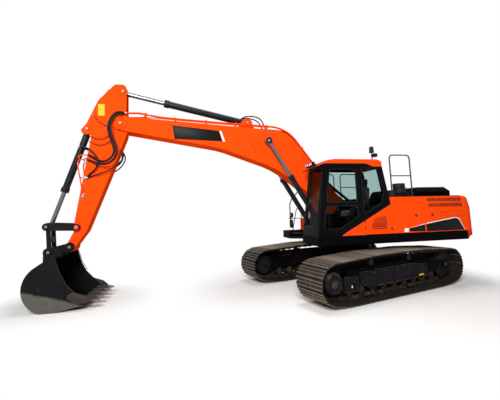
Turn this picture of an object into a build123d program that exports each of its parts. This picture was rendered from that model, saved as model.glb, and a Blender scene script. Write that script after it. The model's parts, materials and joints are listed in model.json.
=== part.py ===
from build123d import *
import os
from math import cos, hypot, radians, sin

os.makedirs("parts", exist_ok=True)

# Frame: millimetres, X forward along the boom, Y left towards the cab, Z up from the ground

# Undercarriage
track_turn = 15.9  # degrees, undercarriage turned under the upper structure
gauge = 2590
shoe_width = 800
wheel_base = 3840
link_pitch = 190
sprocket_pitch_r = 323
sprocket_z = 473
idler_z = 463
link_half = 52
shoe_plate = 12
grouser = 26
rail_y = 75
rail_width = 50
roller_r = 80
roller_count = 9
roller_reach = wheel_base / 2 - 420
carrier_r = 70
carrier_x = wheel_base / 6
carrier_z = 738
carbody_bottom = 480
carbody_top = 930
frame_bottom = 330
frame_top = 690
frame_width = 300

# Upper structure
deck_z = 1105
sill_z = 1310
house_half = 1355
tail_r = 2950
panel = 30
seam = 8
house_top = 2175
crease_z = 1870
shoulder_in = 50
bay_front_x = -500
door_split_x = -1380
weight_depth = 400
weight_front_x = weight_depth - tail_r
cab_inner_y = 455
cab_outer_y = house_half - 10
cab_skin = 40
cab_wall = 45
roof_z = 2950
roof_top = 3055

# Working arm, pins in the plane of the boom
boom_foot = (135, 1894)
boom_tip = (5715, 4053)
lift_foot = (790, 1445)
lift_eye = (2131, 3677)
crowd_foot = (2621, 4209)
crowd_eye = (5693, 4869)
curl_foot = (6460, 3916)
guide_pin = (6569, 1655)
rod_pin = (7167, 1683)
bucket_pin = (6704, 1228)
link_pin = (7120, 1130)

pin_r = 45
pin_gap = 0.1
side_gap = 5
plate = 14

boom_half = 235
fork_inner = 195
arm_half = 160
ear_inner = 167
ear_thick = 38
guide_inner = 212
guide_thick = 30
bucket_half = 700

lift_y = 345
lift_barrel_r = 68
lift_rod_r = 50
lift_barrel = 1560
lift_rod = 1780
crowd_barrel_r = 85
crowd_rod_r = 55
crowd_barrel = 2150
crowd_rod = 2100
curl_barrel_r = 75
curl_rod_r = 48
curl_barrel = 1540
curl_rod = 1500
barrel_wall = 15
piston_gap = 2
gland_gap = 1
seat_gap = 0.3


def save(piece, name):
    """Label a finished piece and write it as a STEP file of its own."""
    piece.part.label = name
    export_step(piece.part, f"parts/{name}.step")


def side(y):
    """Plane across Y, drawn with X to the right and Z up."""
    return Plane(origin=(0, y, 0), x_dir=(1, 0, 0), z_dir=(0, -1, 0))


turn_cos = cos(radians(track_turn))
turn_sin = sin(radians(track_turn))
track_base = Plane(origin=(0, 0, 0), x_dir=(turn_cos, turn_sin, 0), z_dir=(0, 0, 1))


def track_side(y):
    """Plane along a track at the given distance from the undercarriage's middle."""
    origin = (-y * turn_sin, y * turn_cos, 0)
    return Plane(origin=origin, x_dir=(turn_cos, turn_sin, 0), z_dir=(turn_sin, -turn_cos, 0))


def rounded(points, radius):
    """Closed outline through the points, with its corners rounded."""
    with BuildLine(mode=Mode.PRIVATE) as line:
        FilletPolyline(*points, radius=radius, close=True)
    return line.edges()


def straight(points):
    """Closed outline of straight lines through the points."""
    with BuildLine(mode=Mode.PRIVATE) as line:
        Polyline(*points, close=True)
    return line.edges()


def axis_plane(foot, head, y):
    """Plane at foot whose normal points to head, both in the plane across Y."""
    run, rise = head[0] - foot[0], head[1] - foot[1]
    return Plane(origin=(foot[0], y, foot[1]), x_dir=(0, 1, 0), z_dir=(run, 0, rise))


def distance(a, b):
    return hypot(b[0] - a[0], b[1] - a[1])


def along(a, b, length):
    """Point at a length from a towards b."""
    share = length / distance(a, b)
    return (a[0] + (b[0] - a[0]) * share, a[1] + (b[1] - a[1]) * share)


# Track: one loop of shoes over two chain rails
def belt_points():
    """Pins of the chain, evenly spaced round the hull of the wheels."""
    half = wheel_base / 2
    roller_hull = roller_r + link_half
    carrier_hull = carrier_r + link_half
    roller_z = link_half + shoe_plate + grouser + roller_hull
    # x, z, radius at the pins
    wheels = (
        (half, sprocket_z, sprocket_pitch_r),
        (-half, idler_z, sprocket_pitch_r),
        (roller_reach, roller_z, roller_hull),
        (-roller_reach, roller_z, roller_hull),
        (carrier_x, carrier_z, carrier_hull),
        (-carrier_x, carrier_z, carrier_hull),
    )
    with BuildSketch(Plane.XY) as belt:
        for x, z, r in wheels:
            with Locations((x, z)):
                Circle(r)
        make_hull()
    loop = belt.face().outer_wire()
    count = round(loop.length / link_pitch)
    step = loop.length / count
    points = [loop.position_at(step * i, position_mode=PositionMode.LENGTH) for i in range(count)]
    return [(p.X, p.Y) for p in points]


def offset_outline(pins, profile):
    """Outline that follows the chain, with the profile repeated on each link.

    The profile holds pairs of share along the link and height outside the pins."""
    result = []
    for here, there in zip(pins, pins[1:] + pins[:1]):
        run, rise = there[0] - here[0], there[1] - here[1]
        length = hypot(run, rise)
        out_x, out_z = rise / length, -run / length
        for share, height in profile:
            result.append((here[0] + run * share + out_x * height, here[1] + rise * share + out_z * height))
    return result


pins = belt_points()
if sum(a[0] * b[1] - b[0] * a[1] for a, b in zip(pins, pins[1:] + pins[:1])) < 0:
    pins.reverse()

plate_top = link_half + shoe_plate
tip_top = plate_top + grouser
# share along the link, height outside the pins
shoe_profile = (
    (0.04, plate_top), (0.10, tip_top), (0.20, plate_top),
    (0.42, plate_top), (0.50, tip_top), (0.58, plate_top),
    (0.80, plate_top), (0.90, tip_top), (0.96, plate_top),
)

for name, y in (("track_left", gauge / 2), ("track_right", -gauge / 2)):
    with BuildPart() as track:
        with BuildSketch(track_side(y)):
            make_face(straight(offset_outline(pins, shoe_profile)))
            make_face(straight(offset_outline(pins, ((0, link_half),))), mode=Mode.SUBTRACT)
        extrude(amount=shoe_width / 2, both=True)
        for rail in (-rail_y, rail_y):
            with BuildSketch(track_side(y + rail)):
                make_face(straight(offset_outline(pins, ((0, link_half + 1),))))
                make_face(straight(offset_outline(pins, ((0, -link_half),))), mode=Mode.SUBTRACT)
            extrude(amount=rail_width / 2, both=True)
    save(track, name)


# Sprockets with final drive outside and travel motor inside
sprocket_teeth = 21
tooth_tip_r = sprocket_pitch_r + 12
tooth_root_r = sprocket_pitch_r - 38
sprocket_width = 60
drive_r = 215
drive_out = 330
motor_r = 230
motor_in = 200


def sprocket_outline():
    """Teeth as blunt wedges round the root circle."""
    result = []
    for tooth in range(sprocket_teeth):
        for share, r in ((-0.30, tooth_root_r), (-0.12, tooth_tip_r), (0.12, tooth_tip_r), (0.30, tooth_root_r)):
            angle = radians((tooth + share) * 360 / sprocket_teeth)
            result.append((wheel_base / 2 + r * cos(angle), sprocket_z + r * sin(angle)))
    return result


with BuildPart() as sprockets:
    for sign in (-1, 1):
        y = sign * gauge / 2
        with BuildSketch(track_side(y)):
            make_face(straight(sprocket_outline()))
        extrude(amount=sprocket_width / 2, both=True)
        with BuildSketch(track_side(y + sign * drive_out / 2)):
            with Locations((wheel_base / 2, sprocket_z)):
                Circle(drive_r)
        extrude(amount=drive_out / 2, both=True)
        outward = Axis(origin=(0, 0, 0), direction=(-turn_sin * sign, turn_cos * sign, 0))
        chamfer(sprockets.edges().filter_by(GeomType.CIRCLE).sort_by(outward)[-1], 35)
        with BuildSketch(track_side(y - sign * motor_in / 2)):
            with Locations((wheel_base / 2, sprocket_z)):
                Circle(motor_r)
        extrude(amount=motor_in / 2, both=True)
save(sprockets, "sprockets")


# Idlers
idler_tread_r = (sprocket_pitch_r ** 2 - (link_pitch / 2) ** 2) ** 0.5 - link_half - 2
idler_flange_r = idler_tread_r + 28
idler_half = rail_y + rail_width / 2
idler_flange_half = rail_y - rail_width / 2 - 8
idler_shaft_half = 193
idler_shaft_r = 60

with BuildPart() as idlers:
    for y in (-gauge / 2, gauge / 2):
        for r, half in (
            (idler_tread_r, idler_half), (idler_flange_r, idler_flange_half), (idler_shaft_r, idler_shaft_half),
        ):
            with BuildSketch(track_side(y)):
                with Locations((-wheel_base / 2, idler_z)):
                    Circle(r)
            extrude(amount=half, both=True)
save(idlers, "idlers")


# Track rollers and carrier rollers
roller_z = link_half * 2 + shoe_plate + grouser + roller_r + 0.5
roller_half = rail_y + rail_width / 2 + 35
roller_sides = 14
collar_y = roller_half + 2
notch_z = 600
roller_span = roller_reach - 130
sag = 4
with BuildPart() as rollers:
    for y in (-gauge / 2, gauge / 2):
        for i in range(roller_count):
            x = -roller_span + i * 2 * roller_span / (roller_count - 1)
            with BuildSketch(track_side(y)):
                with Locations((x, roller_z)):
                    RegularPolygon(roller_r, roller_sides, major_radius=False)
            extrude(amount=roller_half, both=True)
            for end in (-1, 1):
                with BuildSketch(track_side(y + end * (collar_y + 8))):
                    with Locations((x, (roller_z - 30 + frame_bottom) / 2)):
                        Rectangle(90, frame_bottom - roller_z + 30)
                extrude(amount=10, both=True)
        for x in (-carrier_x, carrier_x):
            with BuildSketch(track_side(y)):
                with Locations((x, carrier_z - sag)):
                    RegularPolygon(carrier_r, roller_sides, major_radius=False)
            extrude(amount=idler_half, both=True)
            bracket_y = y - (idler_half + 12) * (1 if y > 0 else -1)
            with BuildSketch(track_side(bracket_y)):
                with Locations((x, (notch_z + carrier_z) / 2)):
                    Rectangle(80, carrier_z - notch_z)
            extrude(amount=13, both=True)
save(rollers, "rollers")


# Side frames
frame_end_x = wheel_base / 2 - 480
yoke_y = 175
yoke_thick = 36
yoke_x = -wheel_base / 2 - 110
motor_x = wheel_base / 2
with BuildPart() as track_frames:
    for sign in (-1, 1):
        y = sign * gauge / 2
        with BuildSketch(track_side(y)):
            make_face(straight((
                (-frame_end_x, frame_bottom), (frame_end_x - 40, frame_bottom), (frame_end_x - 40, notch_z),
                (900, 640), (carrier_x + 110, 640), (carrier_x + 90, notch_z), (carrier_x - 90, notch_z),
                (carrier_x - 130, frame_top - 20), (-carrier_x + 130, frame_top), (-carrier_x + 90, notch_z),
                (-carrier_x - 90, notch_z), (-carrier_x - 130, 640), (-frame_end_x, 610),
            )))
        extrude(amount=frame_width / 2, both=True)
        for rail in (-yoke_y, yoke_y):
            with BuildSketch(track_side(y + rail)):
                make_face(straight((
                    (-frame_end_x + 120, 360), (-frame_end_x + 120, 590), (yoke_x + 50, 560),
                    (yoke_x, 500), (yoke_x, 420), (yoke_x + 50, 370),
                )))
            extrude(amount=yoke_thick / 2, both=True)
        with BuildSketch(track_side(y)):
            make_face(straight((
                (-frame_end_x + 118, 362), (-frame_end_x + 118, 588),
                (-frame_end_x - 20, 588), (-frame_end_x - 20, 362),
            )))
        extrude(amount=yoke_y + yoke_thick / 2, both=True)
        for rail in (-yoke_y, yoke_y):
            with BuildSketch(track_side(y + rail)):
                with Locations((-wheel_base / 2, idler_z)):
                    Circle(idler_shaft_r + pin_gap)
            extrude(amount=yoke_thick, both=True, mode=Mode.SUBTRACT)
        with BuildSketch(track_side(y - sign * frame_width / 2)):
            make_face(straight((
                (frame_end_x - 300, 370), (frame_end_x - 300, 620), (motor_x - motor_r - 60, 690),
                (motor_x, 760), (motor_x + motor_r, 640), (motor_x + motor_r, 330),
                (motor_x, 235), (motor_x - motor_r - 60, 330),
            )))
            with Locations((motor_x, sprocket_z)):
                Circle(motor_r + pin_gap, mode=Mode.SUBTRACT)
        extrude(amount=22, both=True)
save(track_frames, "track_frames")


# Carbody: centre box, four legs and the seat of the swing bearing
carbody_half_x = 620
carbody_half_y = 560
leg_x = 760
leg_width = 420
ring_r = 640

with BuildPart(track_base) as carbody:
    with BuildSketch(track_base.offset(carbody_bottom)):
        with BuildLine():
            FilletPolyline(
                (-carbody_half_x, -carbody_half_y), (carbody_half_x, -carbody_half_y),
                (carbody_half_x, carbody_half_y), (-carbody_half_x, carbody_half_y),
                radius=120, close=True,
            )
        make_face()
    extrude(amount=carbody_top - 60 - carbody_bottom)
    with BuildSketch(track_base.offset(carbody_bottom - 1)):
        Rectangle(2 * carbody_half_x - 80, 2 * carbody_half_y - 80)
    extrude(amount=carbody_top - 140 - carbody_bottom, mode=Mode.SUBTRACT)
    with BuildSketch(track_base.offset(carbody_top - 61)):
        Circle(ring_r - 20)
    extrude(amount=61)
    for sx in (-1, 1):
        for sy in (-1, 1):
            inner = Plane(
                origin=track_base.from_local_coords((sx * 400, sy * (carbody_half_y - 30), 690)),
                x_dir=(turn_cos, turn_sin, 0), z_dir=(turn_sin, -turn_cos, 0),
            )
            outer = Plane(
                origin=track_base.from_local_coords((sx * leg_x, sy * (gauge / 2 - frame_width / 2), 560)),
                x_dir=(turn_cos, turn_sin, 0), z_dir=(turn_sin, -turn_cos, 0),
            )
            with BuildSketch(inner, outer):
                Rectangle(leg_width, 330)
            loft()
save(carbody, "carbody")

with BuildPart() as swing_ring:
    with BuildSketch(Plane.XY.offset(carbody_top)):
        Circle(ring_r)
        Circle(ring_r - 110, mode=Mode.SUBTRACT)
    extrude(amount=deck_z - carbody_top - seat_gap)
save(swing_ring, "swing_ring")


# Deck: revolving frame, brackets for the boom and its cylinders, and side skirts
bracket_inner = boom_half + 7
bracket_thick = 30
bracket_y = bracket_inner + bracket_thick / 2
deck_front_x = 1370
step_x = 1290
tank_inner = 760
beam_top = 1290
nose_x = 960
deck_plate = 30
skirt = 75
lug_inner = lift_y + lift_barrel_r + side_gap
lug_thick = 22
lug_pin_end = 8
foot_pin_r = 55
lift_pin_r = 45

with BuildPart() as deck:
    with BuildSketch(Plane.XY.offset(deck_z)):
        make_face(straight((
            (weight_front_x, -house_half), (step_x, -house_half), (step_x, -tank_inner), (nose_x, -560),
            (nose_x, cab_inner_y - 20), (deck_front_x, cab_inner_y - 20), (deck_front_x, house_half),
            (weight_front_x, house_half),
        )))
    extrude(amount=deck_plate)
    for y, front in ((house_half - skirt / 2, deck_front_x), (-house_half + skirt / 2, step_x)):
        with BuildSketch(side(y)):
            make_face(straight((
                (weight_front_x, deck_z), (front, deck_z), (front, sill_z),
                (weight_front_x, sill_z),
            )))
        extrude(amount=skirt / 2, both=True)
    for x, low, high in ((deck_front_x - 20, cab_inner_y - 20, house_half), (step_x - 20, -house_half, -tank_inner)):
        with BuildSketch(Plane.YZ.offset(x)):
            make_face(straight(((low, deck_z), (high, deck_z), (high, sill_z), (low, sill_z))))
        extrude(amount=20, both=True)
    for sign in (-1, 1):
        with BuildSketch(side(sign * bracket_y)):
            make_face(rounded((
                (weight_front_x, deck_z + 1), (weight_front_x, beam_top), (bay_front_x + 10, beam_top),
                (-330, 1560), (boom_foot[0] - 170, boom_foot[1] + 60), (boom_foot[0] - 60, boom_foot[1] + 140),
                (boom_foot[0] + 110, boom_foot[1] + 130), (boom_foot[0] + 330, 1680), (nose_x - 20, 1560),
                (nose_x, 1400), (nose_x - 60, deck_z + 1),
            ), [0, 0, 0, 60, 30, 60, 60, 30, 40, 40, 0]))
        extrude(amount=bracket_thick / 2, both=True)
        with BuildSketch(side(sign * (lug_inner + lug_thick / 2))):
            make_face(rounded((
                (lift_foot[0] - 180, deck_z + 1), (lift_foot[0] - 90, lift_foot[1] + 90),
                (lift_foot[0] + 90, lift_foot[1] + 90), (nose_x - 10, deck_z + 1),
            ), [0, 60, 60, 0]))
        extrude(amount=lug_thick / 2, both=True)
        lug_end = lug_inner + lug_thick + lug_pin_end
        with BuildSketch(side(sign * (bracket_inner + lug_end) / 2)):
            with Locations(lift_foot):
                Circle(lift_pin_r)
        extrude(amount=(lug_end - bracket_inner) / 2, both=True)
    with BuildSketch(side(0)):
        with Locations(boom_foot):
            Circle(foot_pin_r)
    extrude(amount=bracket_inner + bracket_thick + 25, both=True)
    for x in (-650, -1500, -2400):
        with BuildSketch(Plane.YZ.offset(x)):
            make_face(straight((
                (-bracket_inner - 5, deck_z + 5), (bracket_inner + 5, deck_z + 5),
                (bracket_inner + 5, beam_top - 10), (-bracket_inner - 5, beam_top - 10),
            )))
        extrude(amount=15, both=True)
save(deck, "deck")


# Counterweight: upright up to the crease of the doors, leaning in above it
weight_top = 2165
weight_side = 70
tail_lean = 150
corner_r = 50
eye_r = 32
eye_x = weight_front_x - 210
eye_y = 560
# sections of a block: height, how far the sides and the tail are drawn in
upright = ((deck_z, 0, 0), (crease_z, 0, 0))
leaning = ((crease_z, 0, 0), (weight_top, shoulder_in, tail_lean))
with BuildPart() as counterweight:
    for sections in (upright, leaning):
        for z, side_in, tail_in in sections:
            half = house_half - side_in
            corner_x = weight_front_x - weight_side + side_in / 2
            with BuildSketch(Plane.XY.offset(z)) as plan:
                with BuildLine():
                    Polyline((corner_x, -half), (weight_front_x, -half), (weight_front_x, half), (corner_x, half))
                    ThreePointArc((corner_x, half), (tail_in - tail_r, 0), (corner_x, -half))
                make_face()
                fillet(plan.vertices().sort_by(Axis.X)[:2], corner_r)
        loft()
    low_edges = counterweight.faces().sort_by(Axis.Z)[0].edges().sort_by(Axis.X)[:3]
    chamfer(low_edges, 45)
    for y in (-eye_y, eye_y):
        with BuildSketch(side(y)):
            with Locations((eye_x, weight_top + 20)):
                Circle(75)
        extrude(amount=22, both=True)
        with BuildSketch(side(y)):
            with Locations((eye_x, weight_top + 40)):
                Circle(eye_r)
        extrude(amount=30, both=True, mode=Mode.SUBTRACT)
save(counterweight, "counterweight")


# House: walls and roof of the engine bay
shell_half = house_half - panel - 20
shell_wall = 20
hood_front_x = -1480
hood_rear_x = weight_front_x + 50
hood_half = 1000
tank_x = 430
with BuildPart() as house_shell:
    with BuildSketch(Plane.YZ.offset(bay_front_x)):
        make_face(straight((
            (-shell_half, sill_z), (shell_half, sill_z), (shell_half, crease_z),
            (shell_half - shoulder_in, house_top), (-shell_half + shoulder_in, house_top), (-shell_half, crease_z),
        )))
    extrude(amount=weight_front_x + seam - bay_front_x)
    with BuildSketch(Plane.YZ.offset(bay_front_x - shell_wall)):
        make_face(straight((
            (-shell_half + shell_wall, sill_z - 1), (shell_half - shell_wall, sill_z - 1),
            (shell_half - shell_wall, crease_z), (shell_half - shoulder_in - shell_wall, house_top - shell_wall),
            (-shell_half + shoulder_in + shell_wall, house_top - shell_wall), (-shell_half + shell_wall, crease_z),
        )))
    extrude(amount=weight_front_x + seam - bay_front_x + 2 * shell_wall, mode=Mode.SUBTRACT)
    for low, high, front, rear in (
        (0, house_half, bay_front_x - 60, door_split_x + 30),
        (-house_half, house_half, door_split_x - 30, weight_front_x + 70),
    ):
        with BuildSketch(Plane.XY.offset(sill_z + 50)):
            make_face(straight(((front, low), (front, high), (rear, high), (rear, low))))
        extrude(amount=house_top - 60 - sill_z - 50, mode=Mode.SUBTRACT)
    with BuildSketch(Plane.XY.offset(house_top - 100)):
        make_face(straight((
            (hood_front_x - 30, -hood_half + 40), (hood_front_x - 30, hood_half - 40),
            (hood_rear_x + 30, hood_half - 40), (hood_rear_x + 30, -hood_half + 40),
        )))
    extrude(amount=200, mode=Mode.SUBTRACT)
save(house_shell, "house_shell")

engine_x = -1850
engine_bottom = beam_top + 10
engine_top = 2020
engine_half_y = 450
with BuildPart() as engine:
    with BuildSketch(Plane.XY.offset(engine_bottom)):
        with Locations((engine_x, 0)):
            Rectangle(620, 2 * engine_half_y)
    extrude(amount=engine_top - engine_bottom)
    with BuildSketch(Plane.XY.offset(deck_z + deck_plate)):
        with Locations((engine_x, engine_half_y - 70), (engine_x, 70 - engine_half_y)):
            Rectangle(300, 120)
    extrude(amount=engine_bottom - deck_z - deck_plate)
save(engine, "engine")


# Side doors and the fixed panel below the cab
swoosh_front = (830, sill_z)
swoosh_rear = (bay_front_x + 10, 2000)


def swoosh_at(x):
    """Height of the slanted lower edge of the cab at a place along X."""
    share = (x - swoosh_front[0]) / (swoosh_rear[0] - swoosh_front[0])
    return swoosh_front[1] + share * (swoosh_rear[1] - swoosh_front[1])


door_front_x = 200
door_low = sill_z + seam
grille_rear_x = -325
grille_low_z = 1440
grille_pitch = (48, 52)
grille_columns = 8
grille_rows = 6
grille_slot = (50, 13)
cab_gap = 12
panel_tip_x = swoosh_front[0] - 60

# Hinge blocks reach from a door to the wall behind it
knuckle_width = 40
knuckle_height = 70
knuckle_in = shell_half + seat_gap
knuckle_y = (knuckle_in + house_half - panel + 5) / 2
knuckle_half = knuckle_y - knuckle_in

with BuildPart() as front_panel:
    with BuildSketch(side(house_half - panel / 2)):
        make_face(straight((
            (panel_tip_x, sill_z), (door_front_x + seam, sill_z),
            (door_front_x + seam, swoosh_at(door_front_x + seam) - cab_gap),
            (panel_tip_x, swoosh_at(panel_tip_x) - cab_gap),
        )))
    extrude(amount=panel / 2, both=True)
    with BuildSketch(side(knuckle_y)):
        with Locations((door_front_x + 90, sill_z + 60)):
            Rectangle(knuckle_width, knuckle_height)
    extrude(amount=knuckle_half, both=True)
save(front_panel, "front_panel")

with BuildPart() as side_door_front:
    with BuildSketch(side(house_half - panel / 2)):
        make_face(straight((
            (door_front_x, door_low), (door_front_x, swoosh_at(door_front_x) - cab_gap),
            (bay_front_x + seam, swoosh_at(bay_front_x + seam) - cab_gap), (bay_front_x + seam, door_low),
        )))
    extrude(amount=panel / 2, both=True)
    with BuildSketch(side(house_half)):
        for row in range(grille_rows):
            for column in range(grille_columns):
                x = grille_rear_x + column * grille_pitch[0]
                z = grille_low_z + row * grille_pitch[1]
                if z < swoosh_at(x) - 175:
                    with Locations((x, z)):
                        Rectangle(*grille_slot, rotation=40)
    extrude(amount=2 * panel, both=True, mode=Mode.SUBTRACT)
    with BuildSketch(side(knuckle_y)):
        with Locations((door_front_x - knuckle_width / 2, door_low + 140)):
            Rectangle(knuckle_width, knuckle_height)
    extrude(amount=knuckle_half, both=True)
save(side_door_front, "side_door_front")


def door_section(sign):
    """Section of a side door: upright, then leaning in above the crease."""
    return [(sign * y, z) for y, z in (
        (house_half, door_low), (house_half, crease_z), (house_half - shoulder_in, house_top - 15),
        (house_half - shoulder_in - panel, house_top - 15), (house_half - panel, crease_z - 5),
        (house_half - panel, door_low),
    )]


slot_size = (26, 60)
slot_pitch = 75
hinge_heights = (door_low + 90, crease_z - 90)
for name, sign, front, rear, hinge, away in (
    ("side_door_middle", 1, bay_front_x, door_split_x + seam, bay_front_x, -1),
    ("side_door_rear", 1, door_split_x, weight_front_x + seam, weight_front_x + seam, 1),
    ("side_door_right", -1, door_split_x, weight_front_x + seam, weight_front_x + seam, 1),
):
    with BuildPart() as door:
        with BuildSketch(Plane.YZ.offset(front)):
            make_face(straight(door_section(sign)))
        extrude(amount=rear - front)
        if front == door_split_x:
            with BuildSketch(side(sign * (house_half - 30))):
                for z in (1960, 2070):
                    with Locations(((front + rear) / 2 - 30, z)):
                        with GridLocations(slot_pitch, 0, int((front - rear - 240) / slot_pitch), 1):
                            Rectangle(*slot_size)
            extrude(amount=80, both=True, mode=Mode.SUBTRACT)
        with BuildSketch(side(sign * knuckle_y)):
            for z in hinge_heights:
                with Locations((hinge + away * knuckle_width / 2, z)):
                    Rectangle(knuckle_width, knuckle_height)
        extrude(amount=knuckle_half, both=True)
    save(door, name)


# Engine hood, with rows of vent slots in its sides
hood_top = 2410
hood_low = house_top + seat_gap
hood_wall = 20
hood_shoulder = (70, 110)
vent_pitch = 75
vent_count = int((hood_front_x - hood_rear_x - 260) / vent_pitch)
vent_x = (hood_front_x + hood_rear_x) / 2 - 20
with BuildPart() as engine_hood:
    with BuildSketch(side(0)):
        make_face(straight((
            (hood_front_x, hood_low), (hood_front_x - 60, hood_top - 30), (hood_front_x - 110, hood_top),
            (hood_rear_x + 100, hood_top), (hood_rear_x, hood_top - 100), (hood_rear_x, hood_low),
        )))
    extrude(amount=hood_half, both=True)
    with BuildSketch(Plane.YZ.offset(hood_rear_x)):
        make_face(straight((
            (-hood_half, hood_low), (hood_half, hood_low), (hood_half, hood_top - hood_shoulder[1]),
            (hood_half - hood_shoulder[0], hood_top), (hood_shoulder[0] - hood_half, hood_top),
            (-hood_half, hood_top - hood_shoulder[1]),
        )))
    extrude(amount=hood_front_x - hood_rear_x, mode=Mode.INTERSECT)
    offset(amount=-hood_wall, openings=engine_hood.faces().sort_by(Axis.Z)[0])
    with BuildSketch(side(0)):
        # height and size of a row's slots
        for z, wide, tall in ((hood_low + 65, 26, 60), (hood_top - 55, 22, 34)):
            with Locations((vent_x, z)):
                with GridLocations(vent_pitch, 0, vent_count, 1):
                    Rectangle(wide, tall)
    extrude(amount=hood_half + 10, both=True, mode=Mode.SUBTRACT)
save(engine_hood, "engine_hood")


# Tanks and toolbox on the right side
tank_split = -40
tank_top = house_top - 30
with BuildPart() as tanks:
    for front, rear in ((tank_x, tank_split + 5), (tank_split - 5, bay_front_x + seam)):
        for low, high, outer in (
            (deck_z + deck_plate, sill_z, house_half - skirt - 2),
            (sill_z, tank_top, house_half),
        ):
            with BuildSketch(Plane.XY.offset(low)):
                with BuildLine():
                    FilletPolyline(
                        (front, -tank_inner), (front, -outer), (rear, -outer), (rear, -tank_inner),
                        radius=60, close=True,
                    )
                make_face()
            extrude(amount=high - low)
    with BuildSketch(Plane.XY.offset(tank_top)):
        with Locations((200, -1050), (-260, -1050)):
            Circle(70)
    extrude(amount=40)
save(tanks, "tanks")

box_front = 1280
box_rear = 450
box_top = 1650
with BuildPart() as toolbox:
    with BuildSketch(side(-house_half + 2)):
        make_face(rounded((
            (box_rear, sill_z), (box_front, sill_z), (box_front, 1480), (box_front - 130, box_top), (box_rear, box_top),
        ), 25))
    extrude(amount=-(house_half - tank_inner))
    with BuildSketch(Plane.XY.offset(sill_z + 20)):
        with Locations((box_front + 60, -1050)):
            Rectangle(130, 420)
    extrude(amount=30)
save(toolbox, "toolbox")


# Cab: hollow shell with the left skin, roof, glass, seat and consoles
cab_front_low = (1370, sill_z)
cab_front_top = (1120, roof_z)
cab_rear_top = (-320, roof_z)
cab_knee = swoosh_rear
cab_rear_low = (-420, sill_z)
skin_inner = cab_outer_y - cab_skin


def front_at(z):
    """Front face of the cab at a height."""
    share = (z - cab_front_low[1]) / (cab_front_top[1] - cab_front_low[1])
    return cab_front_low[0] + share * (cab_front_top[0] - cab_front_low[0])


door_edge_x = 290
door_y = cab_outer_y - cab_skin / 2 + 6
door_points = (
    (front_at(1360) - 55, 1360), (front_at(2880) - 55, 2880), (door_edge_x, 2880),
    (door_edge_x, swoosh_at(door_edge_x) + 55), (850, 1360),
)
upper_window = (
    (front_at(2060) - 135, 2060), (front_at(2810) - 130, 2810), (door_edge_x + 75, 2810), (door_edge_x + 75, 2060),
)
lower_window = (
    (front_at(1470) - 140, 1470), (front_at(1980) - 140, 1980), (door_edge_x + 75, 1980),
    (door_edge_x + 75, 1720), (820, 1470),
)
quarter_window = ((215, 2850), (-225, 2850), (-330, 2250), (-250, 2010), (215, 1765))
right_window = ((front_at(1700) - 90, 1700), (front_at(2860) - 90, 2860), (-240, 2860), (-370, 2080), (-330, 1700))
glass = 6
pane_gap = 0.3
door_margin = 6


def inset(points, amount):
    """The outline drawn smaller by an amount, as edges."""
    with BuildSketch(Plane.XY, mode=Mode.PRIVATE) as shape:
        make_face(straight(points))
        offset(amount=-amount, kind=Kind.INTERSECTION, mode=Mode.REPLACE)
    return shape.face().outer_wire().edges()


shell_points = (cab_front_low, cab_front_top, cab_rear_top, cab_knee, cab_rear_low)
with BuildPart() as cab_shell:
    with BuildSketch(side((cab_inner_y + skin_inner) / 2)):
        make_face(straight(shell_points))
    extrude(amount=(skin_inner - cab_inner_y) / 2, both=True)
    with BuildSketch(side((cab_inner_y + skin_inner) / 2)):
        make_face(inset(shell_points, cab_wall))
    extrude(amount=(skin_inner - cab_inner_y) / 2 - cab_wall, both=True, mode=Mode.SUBTRACT)
    with BuildSketch(side(cab_outer_y - cab_skin / 2 - 0.5)):
        make_face(straight((
            cab_front_low, cab_front_top, cab_rear_top, swoosh_rear, swoosh_front,
        )))
    extrude(amount=cab_skin / 2 + 0.5, both=True)
    with BuildSketch(side(cab_outer_y)):
        make_face(inset(door_points, -door_margin))
    extrude(amount=cab_skin, both=True, mode=Mode.SUBTRACT)
    with BuildSketch(side(skin_inner - cab_wall / 2)):
        make_face(inset(door_points, 25))
    extrude(amount=cab_wall, both=True, mode=Mode.SUBTRACT)
    with BuildSketch(side(cab_outer_y)):
        make_face(rounded(quarter_window, 40))
    extrude(amount=150, both=True, mode=Mode.SUBTRACT)
    with BuildSketch(side(cab_inner_y)):
        make_face(rounded(right_window, 40))
    extrude(amount=100, both=True, mode=Mode.SUBTRACT)
    for x, low in ((1250, 1500), (-450, 2090)):
        with BuildSketch(Plane.YZ.offset(x)):
            make_face(straight((
                (cab_inner_y + 70, low), (cab_outer_y - 90, low), (cab_outer_y - 90, 2860), (cab_inner_y + 70, 2860),
            )))
        extrude(amount=200, both=True, mode=Mode.SUBTRACT)
save(cab_shell, "cab_shell")

with BuildPart() as cab_roof:
    with BuildSketch(side((cab_inner_y + cab_outer_y) / 2)):
        make_face(rounded((
            (cab_front_top[0], roof_z), (cab_front_top[0] - 60, roof_top - 30), (cab_front_top[0] - 260, roof_top),
            (cab_rear_top[0] + 90, roof_top), (cab_rear_top[0] - 20, roof_top - 45), (cab_rear_top[0] - 25, roof_z),
        ), [0, 30, 60, 40, 20, 0]))
    extrude(amount=(cab_outer_y - cab_inner_y) / 2 + 5, both=True)
    fillet(cab_roof.edges().filter_by(GeomType.LINE).filter_by(Axis.X).group_by(Axis.Z)[-1], 35)
save(cab_roof, "cab_roof")

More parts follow.
